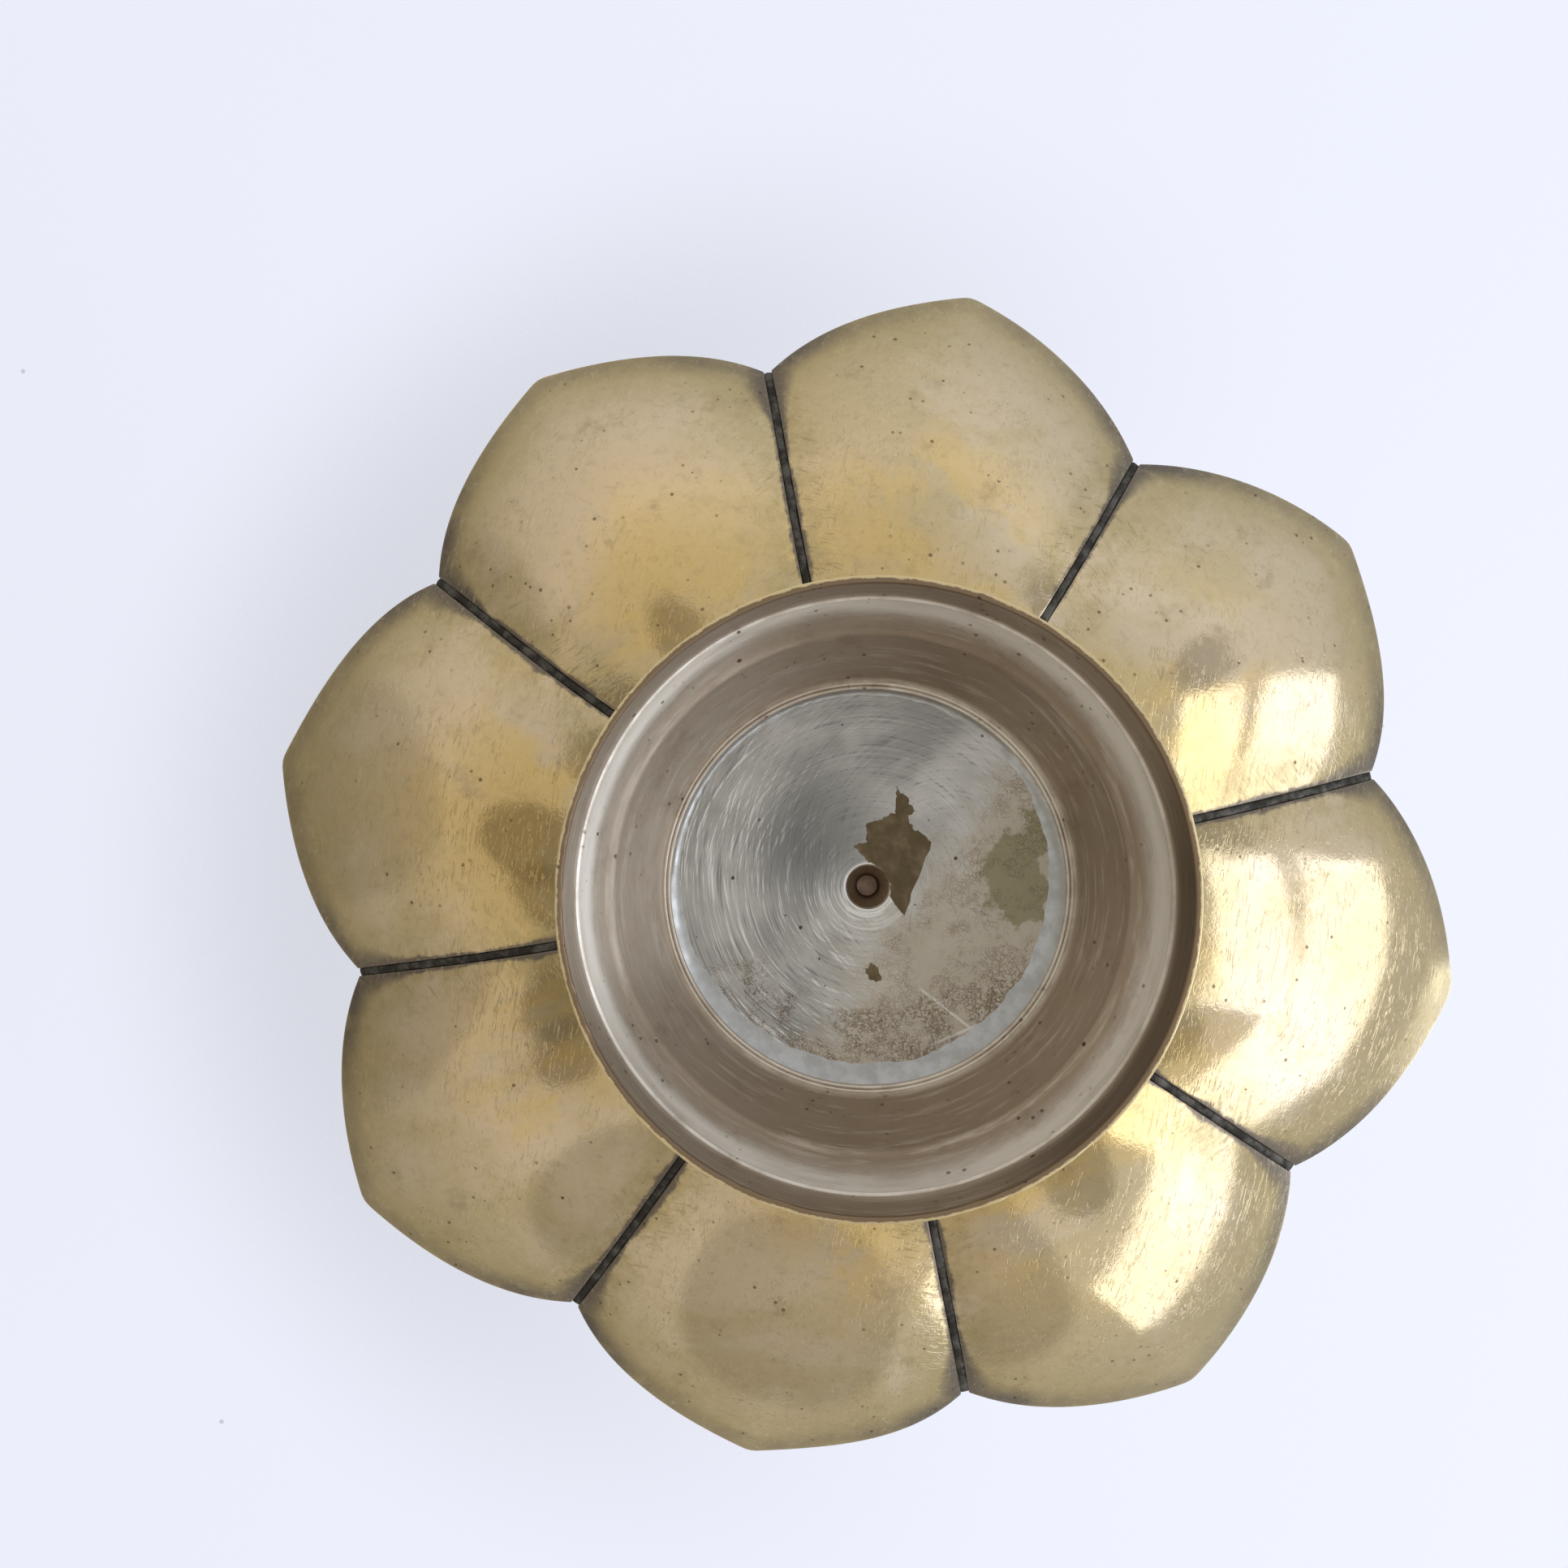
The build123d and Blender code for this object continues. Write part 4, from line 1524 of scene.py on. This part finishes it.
@dataclass(frozen=True)
class SoftBox:
    """A soft rectangular light, aimed at the lamp."""

    name: str
    bearing_deg: float
    spread_deg: float
    distance: float
    width: float
    height: float
    power: float
    colour: Colour = (1.0, 1.0, 1.0)

    def build(self, view: ViewFrame) -> bpy.types.Object:
        """Makes the light."""
        data = bpy.data.lights.new(self.name, "AREA")
        data.shape = "RECTANGLE"
        data.size, data.size_y = self.width, self.height
        data.energy = self.power
        data.color = self.colour
        light = bpy.data.objects.new(self.name, data)
        bpy.context.scene.collection.objects.link(light)
        away = view.toward(self.bearing_deg, self.spread_deg)
        aim = away.to_track_quat("Z", "Y").to_matrix().to_4x4()
        light.matrix_world = Matrix.Translation(away * self.distance) @ aim
        light.visible_camera = False
        return light


@dataclass(frozen=True)
class Studio:
    """Soft light from all round, brighter on one side, with large soft boxes below and above the lamp."""

    view: ViewFrame
    boxes: tuple[SoftBox, ...] = field(
        default=(
            SoftBox("window_low", -24.0, 70.0, 1.2, 1.75, 0.46, 3.5, (0.92, 0.95, 1.0)),
            SoftBox("window_near", -6.0, 50.5, 1.2, 0.85, 0.34, 1.15, (0.92, 0.95, 1.0)),
            SoftBox("fill_above", 120.0, 150.0, 1.6, 1.2, 1.2, 6.0, (1.0, 0.98, 0.95)),
            SoftBox("side_above", -20.0, 120.0, 1.6, 0.6, 1.2, 4.0, (0.95, 0.98, 1.0)),
        )
    )

    dim_places: tuple[tuple[float, float, float, float], ...] = (
        (186.0, 34.0, 12.0, 0.7),
        (176.0, 78.0, 26.0, 0.30),
        (210.0, 36.0, 9.0, 0.65),
        (132.0, 27.0, 8.0, 0.6),
        (-96.0, 62.0, 26.0, 0.42),
        (-50.0, 43.0, 10.0, 0.5),
        (26.0, 50.0, 8.0, 0.45),
    )
    dim_colour: Colour = (0.19, 0.165, 0.13)
    backdrop: Colour = (0.80, 0.80, 0.79)

    def build(self) -> None:
        """Makes the lights and the world."""
        for box in self.boxes:
            box.build(self.view)
        world = bpy.data.worlds.new("studio")
        bpy.context.scene.world = world
        world.use_nodes = True
        graph = Graph(world.node_tree)
        place = graph.read("ShaderNodeTexCoord", "Generated")
        right = graph.vector("DOT_PRODUCT", place, tuple(self.view.right))
        up = graph.vector("DOT_PRODUCT", place, tuple(self.view.up))
        rise = graph.vector("DOT_PRODUCT", place, (0.0, 0.0, 1.0))
        lean = right * 0.9 + up * 0.2
        side = graph.ramp(
            lean * 0.5 + 0.5,
            (
                (0.0, (0.49, 0.45, 0.375)),
                (0.15, (0.62, 0.575, 0.49)),
                (0.4, (0.76, 0.72, 0.65)),
                (0.8, (0.79, 0.79, 0.78)),
            ),
        )
        level = graph.ramp(
            rise * 0.5 + 0.5,
            (
                (0.0, (0.8, 0.8, 0.8)),
                (0.1, (0.86, 0.86, 0.85)),
                (0.22, (1.08, 1.06, 1.03)),
                (0.42, (0.9, 0.9, 0.88)),
                (0.52, (0.86, 0.87, 0.88)),
                (0.62, (1.0, 1.01, 1.02)),
                (1.0, (1.2, 1.21, 1.22)),
            ),
        )
        seen = graph.mix(1.0, side, level, "MULTIPLY")
        for bearing, spread, reach, share in self.dim_places:
            facing = graph.vector("DOT_PRODUCT", place, tuple(self.view.toward(bearing, spread)))
            edges = (math.cos(math.radians(reach)), math.cos(math.radians(reach * 0.85)))
            seen = graph.mix(graph.step(facing, edges[0], edges[1], 0.0, share), seen, self.dim_colour)
        colour = graph.mix(graph.read("ShaderNodeLightPath", "Is Camera Ray"), seen, self.backdrop)
        background = graph.node("ShaderNodeBackground")
        output = graph.node("ShaderNodeOutputWorld")
        graph.feed(background.inputs["Color"], colour)
        graph.feed(output.inputs["Surface"], background.outputs[0])


# ---------------------------------------------------------------- the lamp


def main() -> None:
    """Builds the camera, the stage, the light and the lamp, in that order."""
    logging.basicConfig(level=logging.INFO, format="%(name)s %(message)s")
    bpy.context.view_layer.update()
    bpy.context.scene.view_settings.view_transform = "Standard"
    CameraRig(VIEW).build()
    Stage(VIEW).build()
    Studio(VIEW).build()
    sizes = FrameSizes.read()
    shape = PetalShape(sizes.hub_radius, sizes.tip_radius, sizes.foot_height)
    hand = HandWork()
    LotusPetals(shape, hand, AgedPetalBrass()).build()
    SeamSolder(shape, hand, SoftSolder()).build()
    PedestalFoot(sizes.foot_radius, sizes.foot_height, sizes.floor_radius, TurnedFootBrass()).build()
    finishes = (FacedCasting(), CastSkin(), TurnedTopBrass())
    BaseDisc(sizes.disc_radius, sizes.foot_height, sizes.disc_top, *finishes).build()
    rings = SolderRings(
        sizes.floor_radius,
        sizes.foot_height,
        sizes.disc_radius,
        sizes.disc_top,
        sizes.hub_radius,
        shape,
        SoftSolder("ring_solder", (0.55, 0.565, 0.585), (0.46, 0.465, 0.47), 0.5, 0.34, 0.00003),
        SoftSolder("hub_solder_tarnish", (0.30, 0.29, 0.28), (0.12, 0.115, 0.11)),
    )
    rings.foot_ring()
    rings.hub_ring()


if __name__ == "__main__":
    main()
